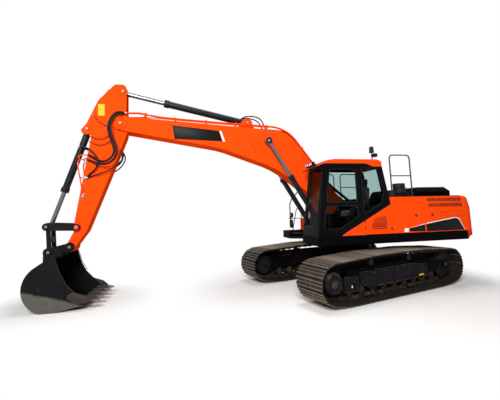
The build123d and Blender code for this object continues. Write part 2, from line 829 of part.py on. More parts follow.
with BuildPart() as cab_glass:
    with BuildSketch(side(cab_outer_y - 20)):
        make_face(rounded([(x, z) for x, z in quarter_window], 40))
        offset(amount=-pane_gap, mode=Mode.REPLACE)
    extrude(amount=glass / 2, both=True)
    with BuildSketch(side(cab_inner_y + 20)):
        make_face(rounded(right_window, 40))
        offset(amount=-pane_gap, mode=Mode.REPLACE)
    extrude(amount=glass / 2, both=True)
    front_pane = ((front_at(1500) - 22, 1500), (front_at(2860) - 22, 2860))
    rear_pane = ((-470, 2090), (-335, 2860))
    for low, high in (front_pane, rear_pane):
        with BuildSketch(side((cab_inner_y + cab_outer_y) / 2 - 10)):
            make_face(straight((
                (low[0], low[1] + pane_gap), (low[0] + glass, low[1] + pane_gap),
                (high[0] + glass, high[1] - pane_gap), (high[0], high[1] - pane_gap),
            )))
        extrude(amount=(cab_outer_y - cab_inner_y) / 2 - 80 - pane_gap, both=True)
save(cab_glass, "cab_glass")

with BuildPart() as cab_door:
    with BuildSketch(side(door_y)):
        make_face(straight(door_points))
        make_face(rounded(upper_window, 45), mode=Mode.SUBTRACT)
        make_face(rounded(lower_window, 45), mode=Mode.SUBTRACT)
    extrude(amount=cab_skin / 2, both=True)
    with BuildSketch(side(door_y + cab_skin / 2 + 8)):
        with Locations((front_at(2000) - 95, 2020)):
            Rectangle(40, 130)
    extrude(amount=10, both=True)
    with BuildSketch(side((skin_inner + seat_gap + door_y) / 2)):
        with Locations((door_edge_x + 20, 2620), (door_edge_x + 20, 1850)):
            Rectangle(40, 70)
    extrude(amount=(door_y - skin_inner - seat_gap) / 2, both=True)
save(cab_door, "cab_door")

with BuildPart() as door_glass:
    for window in (upper_window, lower_window):
        with BuildSketch(side(door_y)):
            make_face(rounded(window, 45))
            offset(amount=-pane_gap, mode=Mode.REPLACE)
        extrude(amount=glass / 2, both=True)
save(door_glass, "door_glass")

seat_y = (cab_inner_y + cab_outer_y) / 2
floor_z = sill_z + cab_wall
with BuildPart() as seat:
    with BuildSketch(side(seat_y)):
        make_face(rounded((
            (60, 1760), (60, 1850), (-40, 2560), (-150, 2560), (-120, 1760),
        ), 30))
    extrude(amount=230, both=True)
    with BuildSketch(side(seat_y)):
        make_face(rounded(((-60, 1700), (-60, 1850), (480, 1860), (500, 1760), (470, 1700)), 30))
    extrude(amount=250, both=True)
    with BuildSketch(side(seat_y)):
        make_face(straight(((-100, floor_z), (-60, 1710), (380, 1710), (420, floor_z))))
    extrude(amount=200, both=True)
save(seat, "seat")

with BuildPart() as console:
    for sign in (-1, 1):
        with BuildSketch(side(seat_y + sign * 310)):
            make_face(rounded(((-60, floor_z), (-60, 1900), (420, 1940), (480, 1880), (330, floor_z)), 20))
        extrude(amount=50, both=True)
        with BuildSketch(side(seat_y + sign * 310)):
            make_face(straight(((395, 1930), (430, 2090), (465, 2090), (440, 1900))))
        extrude(amount=16, both=True)
    with BuildSketch(side(seat_y)):
        for x in (0, 120):
            make_face(straight(((860 + x, floor_z), (830 + x, 1820), (850 + x, 1820), (880 + x, floor_z))))
    extrude(amount=12, both=True)
save(console, "console")


# Lamps: bar over the windscreen, beacon on the roof and round light on the toolbox
bar_x = cab_front_top[0] + 70
bar_y = 690
bar_half = 215
bar_low = roof_z + 5
bar_high = roof_top
lamp_r = 40
beacon_x = -190
beacon_y = cab_outer_y - 145
front_light_x = 1130
front_light_y = -1050
slope_run = -60 / (roof_top - 30 - roof_z)


def slope_at(z):
    """Front slope of the cab roof at a height, with the gap of a seat."""
    return cab_front_top[0] + slope_run * (z - roof_z) + 1.3 * seat_gap


with BuildPart() as work_lights:
    with BuildSketch(Plane.YZ.offset(bar_x - 30)):
        with Locations((bar_y, (bar_low + bar_high) / 2)):
            Rectangle(2 * bar_half, bar_high - bar_low)
    extrude(amount=60)
    for y in (bar_y - 150, bar_y + 150):
        with BuildSketch(side(y)):
            make_face(straight((
                (slope_at(bar_low), bar_low), (bar_x - 25, bar_low), (bar_x - 25, bar_low + 45),
                (slope_at(bar_low + 45), bar_low + 45),
            )))
        extrude(amount=12, both=True)
    with BuildSketch(Plane.YZ.offset(bar_x + 30)):
        with Locations((bar_y, (bar_low + bar_high) / 2)):
            with GridLocations(2 * bar_half / 4, 0, 4, 1):
                Circle(lamp_r)
    extrude(amount=15)
    with BuildSketch(Plane.XY.offset(roof_top)):
        with Locations((beacon_x, beacon_y)):
            Circle(14)
    extrude(amount=190)
    with BuildSketch(Plane.XY.offset(roof_top + 180)):
        with Locations((beacon_x, beacon_y)):
            Circle(60)
    extrude(amount=145, taper=6)
    with BuildSketch(side(beacon_y)):
        with Locations((beacon_x - 80, roof_top + 120)):
            Rectangle(90, 80)
        with Locations((beacon_x - 25, roof_top + 120)):
            Rectangle(50, 20)
    extrude(amount=40, both=True)
    with BuildSketch(Plane.YZ.offset(front_light_x - 50)):
        with Locations((front_light_y, box_top + 110)):
            Circle(75)
    extrude(amount=100)
    with BuildSketch(Plane.XY.offset(box_top)):
        with Locations((front_light_x, front_light_y)):
            Circle(20)
    extrude(amount=60)
save(work_lights, "work_lights")


# Rails on the house and along the tanks, drawn with few sides
rail_r = 17
rail_sides = 8


def bent_tube(points, radius=90):
    """Tube through the points, with its corners rounded."""
    with BuildLine(mode=Mode.PRIVATE) as path:
        FilletPolyline(*points, radius=radius)
    with BuildSketch(Plane(origin=path.line @ 0, z_dir=path.line % 0), mode=Mode.PRIVATE) as ring:
        RegularPolygon(rail_r, rail_sides)
    return sweep(ring.sketch, path=path.line, mode=Mode.PRIVATE)


def bar(start, end):
    """Straight tube from start to end."""
    direction = Vector(*end) - Vector(*start)
    with BuildSketch(Plane(origin=start, z_dir=direction), mode=Mode.PRIVATE) as ring:
        RegularPolygon(rail_r - 3, rail_sides)
    return extrude(ring.sketch, amount=direction.length, mode=Mode.PRIVATE)


guard_y = 930
guard_top = 3240
right_y = -1200
right_top = 3000
with BuildPart() as handrails:
    for y, front, rear, high in ((guard_y, -860, -1440, guard_top), (right_y, -620, -1250, right_top)):
        add(bent_tube(((front, y, house_top), (front, y, high), (rear, y, high), (rear, y, house_top))))
        middle = (house_top + high) / 2
        add(bar((front, y, middle), (rear, y, middle)))
    add(bent_tube((
        (1100, right_y, box_top), (1100, right_y, 2150), (380, right_y, right_top), (-400, right_y, right_top),
        (-400, right_y, tank_top),
    ), 120))
    add(bar((380, right_y, tank_top), (380, right_y, right_top - 8)))
save(handrails, "handrails")

intake_x = -930
intake_y = 1105
intake_low = 2260
intake_high = 2490
exhaust_x = hood_rear_x + 400
exhaust_y = -1120
cover_front_x = -1090
cover_top = 2330
cover_low_y = 250
cover_high_y = 880
with BuildPart() as roof_stacks:
    with BuildSketch(Plane.XY.offset(house_top)):
        with Locations((intake_x, intake_y)):
            Circle(60)
        with Locations((exhaust_x, exhaust_y)):
            Circle(62)
    extrude(amount=intake_low - house_top + 5)
    with BuildSketch(Plane.XY.offset(intake_low)):
        with Locations((intake_x, intake_y)):
            Circle(140)
    extrude(amount=intake_high - intake_low)
    with BuildSketch(Plane.XY.offset(intake_low)):
        with Locations((exhaust_x, exhaust_y)):
            Circle(48)
    extrude(amount=250)
    with BuildSketch(Plane.XZ.offset(-cover_high_y)):
        make_face(straight((
            (cover_front_x, house_top), (cover_front_x - 40, cover_top), (hood_front_x + 60, cover_top),
            (hood_front_x + 20, house_top),
        )))
    extrude(amount=cover_high_y - cover_low_y)
save(roof_stacks, "roof_stacks")


# Boom
boom_points = (
    (boom_foot[0] - 165, boom_foot[1] + 40), (boom_foot[0] - 30, boom_foot[1] + 190), (1620, 3975), (5560, 4215),
    (5860, 4170), (5850, 3930), (5560, 3860), (3350, 3495), (1900, 2985), (300, 1740), (60, 1700),
)
boom_radii = (90, 90, 700, 40, 90, 90, 60, 2500, 2200, 90, 90)
fork_thick = 58
lift_boss_r = 120
pivot_boss_r = 165
lift_eye_half = 50
crowd_ear_in = crowd_barrel_r + 7
crowd_ear = 32


def fork_slot(wall):
    """Room for the arm between the fork's plates, or the same with a wall behind it."""
    low, middle, high = 3650, boom_tip[1] - 30, 4500
    reach = boom_tip[0] + 800
    return [(x - wall, z) for x, z in (
        (5175, low), (5350, middle - 60), (5350, middle + 60), (5150, middle + 200), (5150, high),
        (reach, high), (reach, low),
    )]


with BuildPart() as boom:
    with BuildSketch(side(0)) as boom_profile:
        make_face(rounded(boom_points, boom_radii))
    extrude(amount=boom_half, both=True)
    with BuildSketch(side(0)):
        add(boom_profile.sketch.face())
        offset(amount=-plate, mode=Mode.REPLACE)
        for centre, r in ((boom_foot, pivot_boss_r), (lift_eye, lift_boss_r)):
            with Locations(centre):
                Circle(r, mode=Mode.SUBTRACT)
        make_face(straight(fork_slot(40)), mode=Mode.SUBTRACT)
    extrude(amount=boom_half - plate, both=True, mode=Mode.SUBTRACT)
    with BuildSketch(side(0)):
        make_face(straight(fork_slot(0)))
    extrude(amount=fork_inner, both=True, mode=Mode.SUBTRACT)
    for sign in (-1, 1):
        with BuildSketch(side(sign * (fork_inner + fork_thick / 2))):
            with Locations(boom_tip):
                Circle(150)
        extrude(amount=fork_thick / 2, both=True)
    with BuildSketch(side(0)):
        with Locations(boom_tip):
            Circle(pin_r)
    extrude(amount=fork_inner + fork_thick + 14, both=True)
    with BuildSketch(side(0)):
        with Locations(boom_foot):
            Circle(foot_pin_r + pin_gap)
    extrude(amount=boom_half + 1, both=True, mode=Mode.SUBTRACT)
    with BuildSketch(side(0)):
        with Locations(lift_eye):
            Circle(95)
    extrude(amount=lift_y - lift_eye_half - side_gap, both=True)
    for sign in (-1, 1):
        with BuildSketch(side(sign * (crowd_ear_in + crowd_ear / 2))):
            make_face(rounded((
                (crowd_foot[0] - 190, 4000), (crowd_foot[0] - 90, crowd_foot[1] + 90),
                (crowd_foot[0] + 100, crowd_foot[1] + 90), (crowd_foot[0] + 330, 4000),
            ), [0, 70, 70, 0]))
        extrude(amount=crowd_ear / 2, both=True)
    with BuildSketch(side(0)):
        with Locations(crowd_foot):
            Circle(pin_r)
    extrude(amount=crowd_ear_in + crowd_ear + 8, both=True)
save(boom, "boom")


# Hydraulic cylinders: barrel with eye and gland, rod with eye and piston
def make_barrel(foot, head, y, length, radius, rod_r, eye_half, foot_pin):
    """Barrel from its foot pin towards head, hollow for the piston."""
    base = axis_plane(foot, head, y)
    with BuildPart() as barrel:
        with BuildSketch(base.offset(60)):
            Circle(radius)
        extrude(amount=length - 60)
        with BuildSketch(base.offset(length - 110)):
            Circle(radius + 14)
        extrude(amount=110)
        with BuildSketch(side(y)):
            with Locations(foot):
                Circle(radius + 15)
        extrude(amount=eye_half, both=True)
        with BuildSketch(base.offset(130)):
            Circle(radius - barrel_wall)
        extrude(amount=length - 130 - 60, mode=Mode.SUBTRACT)
        with BuildSketch(base.offset(length - 80)):
            Circle(rod_r + gland_gap)
        extrude(amount=100, mode=Mode.SUBTRACT)
        with BuildSketch(side(y)):
            with Locations(foot):
                Circle(foot_pin + pin_gap)
        extrude(amount=eye_half + 1, both=True, mode=Mode.SUBTRACT)
    return barrel


def make_rod(foot, head, y, length, radius, rod_r, eye_half):
    """Rod from its eye at head back towards foot, with its piston."""
    base = axis_plane(head, foot, y)
    with BuildPart() as rod:
        with BuildSketch(base):
            Circle(rod_r)
        extrude(amount=length)
        with BuildSketch(base.offset(length - 90)):
            Circle(radius - barrel_wall - piston_gap)
        extrude(amount=90)
        with BuildSketch(side(y)):
            with Locations(head):
                Circle(rod_r + 42)
        extrude(amount=eye_half, both=True)
    return rod


for name, sign in (("left", 1), ("right", -1)):
    y = sign * lift_y
    save(make_barrel(lift_foot, lift_eye, y, lift_barrel, lift_barrel_r, lift_rod_r, lift_barrel_r - 2, lift_pin_r),
         f"boom_barrel_{name}")
    save(make_rod(lift_foot, lift_eye, y, lift_rod, lift_barrel_r, lift_rod_r, lift_eye_half), f"boom_rod_{name}")

rod_eye_half = 55
save(make_barrel(crowd_foot, crowd_eye, 0, crowd_barrel, crowd_barrel_r, crowd_rod_r, crowd_barrel_r, pin_r),
     "arm_barrel")
save(make_rod(crowd_foot, crowd_eye, 0, crowd_rod, crowd_barrel_r, crowd_rod_r, rod_eye_half), "arm_rod")
save(make_barrel(curl_foot, rod_pin, 0, curl_barrel, curl_barrel_r, curl_rod_r, curl_barrel_r, pin_r),
     "bucket_barrel")
save(make_rod(curl_foot, rod_pin, 0, curl_rod, curl_barrel_r, curl_rod_r, rod_eye_half), "bucket_rod")


# Arm
arm_points = (
    (5610, 4880), (5620, 5030), (5870, 5035), (6235, 4610), (6470, 4040), (6590, 3880), (6540, 3790), (6350, 3790),
    (6640, 1750), (6640, 1560), (bucket_pin[0] + 98, bucket_pin[1]), (bucket_pin[0] - 98, bucket_pin[1]),
    (6380, 1560), (5600, 3740), (5545, 4040), (5600, 4330),
)
arm_radii = (60, 90, 110, 260, 80, 50, 40, 60, 150, 120, 0, 0, 200, 120, 150, 90)
arm_tip_r = 108
head_slot = ((5300, 5200), (6080, 5200), (6080, 4900), (5880, 4770), (5720, 4640), (5590, 4400), (5300, 4400))
slot_half = rod_eye_half + side_gap
curl_slot = ((6340, 4060), (6480, 4110), (6700, 3950), (6700, 3700), (6250, 3700), (6330, 3800))
pivot_half = fork_inner - side_gap
with BuildPart() as arm:
    with BuildSketch(side(0)) as arm_profile:
        make_face(rounded(arm_points, arm_radii))
        with Locations(bucket_pin):
            Circle(arm_tip_r)
    extrude(amount=arm_half, both=True)
    with BuildSketch(side(0)):
        add(arm_profile.sketch.face())
        offset(amount=-plate, mode=Mode.REPLACE)
        for centre, r in ((boom_tip, 130), (bucket_pin, 110), (guide_pin, 90)):
            with Locations(centre):
                Circle(r, mode=Mode.SUBTRACT)
        with Locations((5900, 4890)):
            Rectangle(1400, 1000, mode=Mode.SUBTRACT)
        with Locations((6600, 3960)):
            Rectangle(600, 500, mode=Mode.SUBTRACT)
    extrude(amount=arm_half - plate, both=True, mode=Mode.SUBTRACT)
    with BuildSketch(side(0)):
        make_face(straight(head_slot))
    extrude(amount=slot_half, both=True, mode=Mode.SUBTRACT)
    with BuildSketch(side(0)):
        make_face(straight(curl_slot))
    extrude(amount=curl_barrel_r + side_gap, both=True, mode=Mode.SUBTRACT)
    with BuildSketch(side(0)):
        with Locations(boom_tip):
            Circle(125)
    extrude(amount=pivot_half, both=True)
    with BuildSketch(side(0)):
        with Locations(boom_tip, bucket_pin):
            Circle(pin_r + pin_gap)
    extrude(amount=pivot_half + 1, both=True, mode=Mode.SUBTRACT)
    with BuildSketch(side(0)):
        with Locations(curl_foot):
            Circle(pin_r)
    extrude(amount=arm_half + 12, both=True)
    with BuildSketch(side(0)):
        with Locations(guide_pin):
            Circle(pin_r)
    extrude(amount=guide_inner + guide_thick + 12, both=True)
    with BuildSketch(side(0)):
        with Locations(guide_pin):
            Circle(70)
    extrude(amount=guide_inner - side_gap, both=True)
    for sign in (-1, 1):
        with BuildSketch(side(sign * (slot_half + arm_half + 12) / 2)):
            with Locations(crowd_eye):
                Circle(pin_r)
        extrude(amount=(arm_half + 12 - slot_half) / 2, both=True)
save(arm, "arm")


# Guide links and H link
with BuildPart() as guide_links:
    for sign in (-1, 1):
        with BuildSketch(side(sign * (guide_inner + guide_thick / 2))):
            with Locations(guide_pin):
                Circle(75)
            with Locations(rod_pin):
                Circle(82)
            make_hull()
            with Locations(guide_pin):
                Circle(pin_r + pin_gap, mode=Mode.SUBTRACT)
        extrude(amount=guide_thick / 2, both=True)
        with BuildSketch(side(sign * (guide_inner + guide_thick / 2 - 8))):
            with Locations(rod_pin):
                Circle(pin_r)
        extrude(amount=guide_thick / 2 + 26, both=True)
save(guide_links, "guide_links")

h_inner = 65
h_outer = 152
h_waist = 42


def strap(a, b, half):
    """Corners of a straight strip from a to b, with half its width."""
    across = ((b[1] - a[1]) * half / distance(a, b), (a[0] - b[0]) * half / distance(a, b))
    return [(x + sign * across[0], z + sign * across[1]) for sign, ends in ((1, (a, b)), (-1, (b, a)))
            for x, z in ends]


with BuildPart() as h_link:
    for sign in (-1, 1):
        with BuildSketch(side(sign * (h_inner + h_outer) / 2)):
            with Locations(rod_pin, link_pin):
                Circle(88)
        extrude(amount=(h_outer - h_inner) / 2, both=True)
        with BuildSketch(side(sign * (h_outer - 20))):
            make_face(straight(strap(link_pin, rod_pin, h_waist)))
        extrude(amount=20, both=True)
    with BuildSketch(side(0)):
        make_face(straight(strap(along(link_pin, rod_pin, 200), along(link_pin, rod_pin, 330), h_waist - 5)))
    extrude(amount=h_outer - 10, both=True)
    with BuildSketch(side(0)):
        with Locations(link_pin):
            Circle(pin_r + pin_gap)
    extrude(amount=h_outer + 1, both=True, mode=Mode.SUBTRACT)
save(h_link, "h_link")


# Bucket: shell, side plates, ears with the pins, and teeth
shell_thick = 24
lip = (6190, 118)
heel_low = (6700, 15)
heel_mid = (7375, 545)
heel_high = (7150, 905)
mouth_top = (6822, 1128)
mouth = ((6822, 1128), (6700, 760), (6590, 560), (6390, 350), (6190, 118))


def bucket_outline(inner=0):
    """Side outline of the bucket, or of its inside when inner is the shell's thickness."""
    top = (mouth_top[0] - inner * 0.5, mouth_top[1] - inner * 1.2)
    high = (heel_high[0] - inner * 0.2, heel_high[1] - inner)
    low = (heel_low[0], heel_low[1] + inner)
    front = (lip[0], lip[1] + inner)
    with BuildLine(mode=Mode.PRIVATE) as line:
        Line(top, high)
        ThreePointArc(high, (heel_mid[0] - inner, heel_mid[1]), low)
        Line(low, front)
        if inner:
            Polyline(front, (lip[0] - 200, lip[1] + 300), (6500, 1250), top)
        else:
            Polyline(*reversed(mouth))
    return line.edges()


ear_r = 112
wear_plate = 14
with BuildPart() as bucket:
    with BuildSketch(side(0)):
        make_face(bucket_outline())
    extrude(amount=bucket_half, both=True)
    with BuildSketch(side(0)):
        make_face(bucket_outline(shell_thick))
    extrude(amount=bucket_half - shell_thick, both=True, mode=Mode.SUBTRACT)
    for sign in (-1, 1):
        with BuildSketch(side(sign * (ear_inner + ear_thick / 2))):
            make_face(straight((
                (bucket_pin[0] - 60, bucket_pin[1] - 90), (bucket_pin[0] - 40, bucket_pin[1] + 100),
                (link_pin[0], link_pin[1] + 95), (link_pin[0] + 92, link_pin[1]), (heel_high[0] + 60, heel_high[1] - 40),
                (heel_high[0], heel_high[1] - 10), (mouth_top[0], mouth_top[1] - 10),
            )))
            with Locations(bucket_pin, link_pin):
                Circle(ear_r - 10)
        extrude(amount=ear_thick / 2, both=True)
    with BuildSketch(side(0)):
        with Locations(bucket_pin, link_pin):
            Circle(pin_r)
    extrude(amount=ear_inner + ear_thick + 2, both=True)
    for sign in (-1, 1):
        with BuildSketch(side(sign * bucket_half)):
            with BuildLine():
                Polyline(*mouth[:-1], (6275, 225), (6430, 110))
                ThreePointArc((6430, 110), (6745, 640), (7125, 885))
                Line((7125, 885), mouth[0])
            make_face()
        extrude(amount=wear_plate, both=True)
save(bucket, "bucket")

tooth_count = 5
tooth_half = 45
tooth_inset = shell_thick + 1
tooth_pitch = 2 * (bucket_half - tooth_half - tooth_inset) / (tooth_count - 1)


def floor_at(x):
    """Underside of the bucket's floor, x ahead of the lip being negative."""
    return lip[1] + x * (heel_low[1] - lip[1]) / (heel_low[0] - lip[0])


with BuildPart() as bucket_teeth:
    for i in range(tooth_count):
        with BuildSketch(side(i * tooth_pitch - bucket_half + tooth_half + tooth_inset)):
            make_face(straight([(lip[0] + x, z) for x, z in (
                (130, floor_at(130) - seat_gap), (90, floor_at(90) - 30), (-60, lip[1] - 34),
                (-265, lip[1] + 30), (-258, lip[1] + 46), (-60, lip[1] + 74),
                (60, floor_at(60) + shell_thick + 42), (60, floor_at(60) + shell_thick + seat_gap),
                (-3, floor_at(-3) + shell_thick + seat_gap), (-3, floor_at(-3) - seat_gap),
            )]))
        extrude(amount=tooth_half, both=True)
save(bucket_teeth, "bucket_teeth")
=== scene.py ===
# %% [markdown]
# # A crawler excavator
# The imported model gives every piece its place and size. This script dresses it: it gives each
# piece its finish, and adds what is too small or too soft for the construction model, such as
# track shoes with their bolts, hoses, pipes, seals and cushions. Everything is in metres.
# X points forward along the boom, Y to the left, where the cab is, and Z up.

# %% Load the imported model
import json
import random
from math import cos, pi, radians, sin

import bpy
from mathutils import Matrix, Vector


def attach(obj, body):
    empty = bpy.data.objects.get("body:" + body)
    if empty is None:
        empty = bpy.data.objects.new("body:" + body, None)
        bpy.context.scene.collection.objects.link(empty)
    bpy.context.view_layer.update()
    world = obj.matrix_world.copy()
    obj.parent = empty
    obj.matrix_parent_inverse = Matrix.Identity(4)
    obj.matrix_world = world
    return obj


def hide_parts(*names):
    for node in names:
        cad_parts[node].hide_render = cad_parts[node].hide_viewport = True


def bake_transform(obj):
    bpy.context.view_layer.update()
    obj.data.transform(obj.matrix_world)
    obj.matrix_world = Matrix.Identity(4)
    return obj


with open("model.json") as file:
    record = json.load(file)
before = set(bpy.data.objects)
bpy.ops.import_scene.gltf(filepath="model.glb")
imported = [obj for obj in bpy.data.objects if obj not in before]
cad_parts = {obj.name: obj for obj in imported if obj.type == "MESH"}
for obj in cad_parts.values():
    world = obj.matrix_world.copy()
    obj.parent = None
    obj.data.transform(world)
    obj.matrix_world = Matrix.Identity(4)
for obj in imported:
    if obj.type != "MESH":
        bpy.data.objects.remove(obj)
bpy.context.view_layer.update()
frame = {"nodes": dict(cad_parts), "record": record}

# %% [markdown]
# ## The camera
# The photograph is taken from the left, a little ahead of the machine and low down. A camera is
# described by where it stands, by how it is turned, and by its focal length. The picture is
# slightly higher than the lens axis, so a small shift is set too, which keeps uprights upright.

# %% Camera
yaw, pitch, roll = -1.7776, 0.1208, -0.0259
ahead = Vector((cos(yaw) * cos(pitch), sin(yaw) * cos(pitch), sin(pitch)))
level = Vector((sin(yaw), -cos(yaw), 0))
above = level.cross(ahead)
right = level * cos(roll) + above * sin(roll)
upward = above * cos(roll) - level * sin(roll)

bpy.ops.object.camera_add()
camera = bpy.context.active_object
stand = (4.2047, 7.686, 1.9134)
camera.matrix_world = Matrix.Translation(stand) @ Matrix((right, upward, -ahead)).transposed().to_4x4()
camera.data.lens = 21.94
camera.data.shift_x = 0.0018
camera.data.shift_y = -0.0518
camera.data.clip_end = 200
bpy.context.scene.camera = camera
bpy.context.scene.view_settings.view_transform = "Standard"
print("camera at", stand, "focal length", camera.data.lens)

# %% [markdown]
# ## Writing shaders as sums
# A material is a tree of nodes. To keep it readable, a small class wraps each value, so that
# `1 - mask` or `dust * 0.5` adds the Math node by itself. Every other node comes from one
# method, which takes the node's type, its settings and what goes into its sockets.


# %% Values
class Value:
    """A value that changes over a surface, with the sums that work on it."""

    def __init__(self, finish, socket):
        self.finish = finish
        self.socket = socket

    def maths(self, operation, first, second):
        return self.finish.node("Math", {"operation": operation}, {0: first, 1: second})

    def __add__(self, other):
        return self.maths("ADD", self, other)

    def __radd__(self, other):
        return self.maths("ADD", other, self)

    def __sub__(self, other):
        return self.maths("SUBTRACT", self, other)

    def __rsub__(self, other):
        return self.maths("SUBTRACT", other, self)

    def __mul__(self, other):
        return self.maths("MULTIPLY", self, other)

    def __rmul__(self, other):
        return self.maths("MULTIPLY", other, self)


# %% [markdown]
# A finish holds one material while it is built. Its methods name what paints and metals are made
# of: clouds, soft steps, mixed colours and streaks. Ready-made pictures would need a file and
# would blur close up, so every pattern is worked out from the surface's own coordinates.


# %% Finishes
class Finish:
    """A material under construction, or the sky."""

    def __init__(self, name, owner=None):
        self.material = owner or bpy.data.materials.new(name)
        self.material.use_nodes = True
        self.tree = self.material.node_tree
        self.tree.nodes.clear()
        self.place = self.node("TexCoord", output="Object")

    def node(self, kind, settings=None, values=None, output=0):
        """Any node: its settings, what goes into its sockets, and the output that is wanted."""
        made = self.tree.nodes.new("ShaderNode" + kind)
        for key, value in (settings or {}).items():
            setattr(made, key, value)
        for key, value in (values or {}).items():
            if isinstance(value, Value):
                self.tree.links.new(value.socket, made.inputs[key])
            else:
                made.inputs[key].default_value = value
        return Value(self, made.outputs[output]) if made.outputs else None

    def noise(self, scale, detail=3, roughness=0.5, place=None):
        """Clouds: scale is how many there are in a metre."""
        return self.node("TexNoise", {}, {
            "Vector": place or self.place, "Scale": scale, "Detail": detail, "Roughness": roughness,
        })

    def step(self, value, low, high):
        """0 below low, 1 above high, and a soft slope between."""
        return self.node("MapRange", {"interpolation_type": "SMOOTHSTEP"}, {
            "Value": value, "From Min": low, "From Max": high,
        })

    def mix(self, first, second, share):
        """Colour between two colours."""
        return self.node("Mix", {"data_type": "RGBA"}, {0: share, 6: first, 7: second}, 2)

    def part(self, vector, axis):
        """One coordinate of a vector: 0, 1 or 2."""
        return self.node("SeparateXYZ", {}, {0: vector}, axis)

    def facing_up(self):
        """1 on a level surface, 0 on upright and hanging ones."""
        return self.step(self.part(self.node("NewGeometry", output="Normal"), 2), 0.15, 0.95)

    def scaled(self, stretch):
        """Object coordinates stretched along the axes, for streaks."""
        return self.node("Mapping", {}, {"Vector": self.place, "Scale": stretch})

    def surface(self, colour, roughness, metallic=0.0, height=None, depth=0.001, coat=0.0, **sockets):
        """The shader itself, with bump from a height in metres."""
        values = {"Base Color": colour, "Roughness": roughness, "Metallic": metallic, "Coat Weight": coat}
        if height is not None:
            values["Normal"] = self.node("Bump", {}, {"Height": height, "Distance": depth, "Strength": 1.0})
        values.update({key.replace("_", " "): value for key, value in sockets.items()})
        self.node("OutputMaterial", {}, {0: self.node("BsdfPrincipled", {}, values)})
        return self.material


# %% [markdown]
# ## Paint
# Paint on a working machine shows faint mottling from the spray gun, dust on whatever faces up,
# a few chips, and dried splashes lower down. It could be one flat colour, but that looks like
# plastic. All paints share one recipe, and differ in colour, in gleam and in how dusty they
# are. The orange has no gleam at all, so its undersides stay orange over the pale floor.

# %% Paint recipe
dust_colour = (0.30, 0.25, 0.20, 1)
mud_colour = (0.115, 0.085, 0.065, 1)


def shade(colour, amount):
    """The colour made darker or lighter."""
    return tuple(channel * amount for channel in colour[:3]) + (1,)


def paint(name, colour, roughness=0.32, dusty=0.3, dirty=0.0, gleam=0.15, corner=False):
    """Sprayed paint with dust on top and dirt near the ground."""
    finish = Finish(name)
    patches = finish.noise(0.9, 2)
    grime = finish.noise(6, 6, 0.65)
    peel = finish.noise(160, 2)
    streaks = finish.noise(9, 4, 0.6, finish.scaled((1, 1, 0.14)))
    up = finish.facing_up()
    body = finish.mix(shade(colour, 0.95), shade(colour, 1.04), patches)
    body = finish.mix(body, shade(colour, 0.68), finish.step(streaks, 0.62, 0.82) * 0.25)
    if corner:
        body = finish.mix(body, orange, roof_corner(finish))
    film = finish.step(grime, 0.35, 0.75) * dusty * (up * 0.8 + 0.04)
    body = finish.mix(body, dust_colour, film)
    chips = finish.step(finish.noise(38, 5, 0.7), 0.715, 0.73) * finish.step(finish.noise(2.2, 2), 0.5, 0.62)
    body = finish.mix(body, shade(colour, 0.28), chips)
    gloss = finish.step(grime, 0.3, 0.8) * 0.14 + roughness + film * 0.6
    if dirty:
        height = finish.part(finish.place, 2)
        low = 1 - finish.step(height, 0.3, 0.95)
        splash = finish.step(finish.noise(11, 6, 0.7) + low * 0.22, 0.66, 0.9) * dirty
        body = finish.mix(body, mud_colour, splash)
        gloss = gloss + splash * 0.5
    relief = peel * 0.15 + chips * -0.6 + film * 0.5
    return finish.surface(body, gloss, height=relief, depth=0.0012, Specular_IOR_Level=gleam)


# %% [markdown]
# The cab's shell is black, but its top rear corner is orange like the roof above it. On the real
# cab that corner belongs to the roof's moulding. Here a mask paints it, with two straight edges
# that follow the moulding's lower line.


# %% Paints
def roof_corner(finish):
    """1 on the shell's top rear corner, 0 elsewhere."""
    along = finish.part(finish.place, 0)
    high = finish.part(finish.place, 2)
    line = finish.step(along, -0.14, 0.14) * 0.075 + 2.878
    return finish.step(high - line, 0.0, 0.004)


orange = (0.86, 0.058, 0.003, 1)
near_black = (0.0018, 0.0018, 0.0024, 1)
finishes = {
    "orange_paint": paint("orange_paint", orange, gleam=0.0),
    "orange_iron": paint("orange_iron", shade(orange, 0.97), roughness=0.38, gleam=0.0),
    "black_paint": paint("black_paint", near_black, roughness=0.45, dusty=0.1, dirty=0.08, gleam=0.01),
    "cab_paint": paint("cab_paint", (0.0026, 0.0030, 0.0038, 1), 0.36, dusty=0.08, gleam=0.02, corner=True),
    "drive_paint": paint("drive_paint", (0.0065, 0.0067, 0.0095, 1), 0.5, dusty=0.4, dirty=0.1, gleam=0.02),
    "rail_paint": paint("rail_paint", (0.035, 0.037, 0.042, 1), 0.35, dusty=0.2, gleam=0.1),
    "cylinder_paint": paint("cylinder_paint", (0.008, 0.0085, 0.011, 1), 0.25, dusty=0.15, gleam=0.12),
    "link_steel": paint("link_steel", (0.007, 0.007, 0.0078, 1), 0.42, dusty=0.3, gleam=0.05),
    "engine_block": paint("engine_block", (0.16, 0.16, 0.17, 1), 0.5, dusty=0.5, gleam=0.3),
    # A darker orange that paints shade in slots and along weld beads.
    "slit_paint": paint("slit_paint", shade(orange, 0.62), 0.4, dusty=0.2, gleam=0.2),
}
print("paints", sorted(finishes))

# %% [markdown]
# ## Bare and worn metal
# Shoes and wheels are bare: brown-grey steel with dried mud and rubbed edges. On the shoes the hollows between
# the grousers are painted nearly black, as painted shade. The shoes carry a number on each vertex,
# `rub_and_shade`, that says how far out it lies. It sets both the rubbed edges and that painted shade. They
# also carry `tone`, that differs a little from shoe to shoe, because no two weather alike.


# %% Metals
def chrome(name):
    finish = Finish(name)
    film = finish.step(finish.noise(5, 5, 0.6), 0.45, 0.8)
    rings = finish.noise(30, 3, 0.5, finish.scaled((9, 9, 9)))
    colour = finish.mix((0.17, 0.175, 0.19, 1), (0.08, 0.08, 0.082, 1), film * 0.6)
    return finish.surface(colour, film * 0.18 + 0.13 + rings * 0.04, metallic=1.0, height=rings, depth=0.0001)


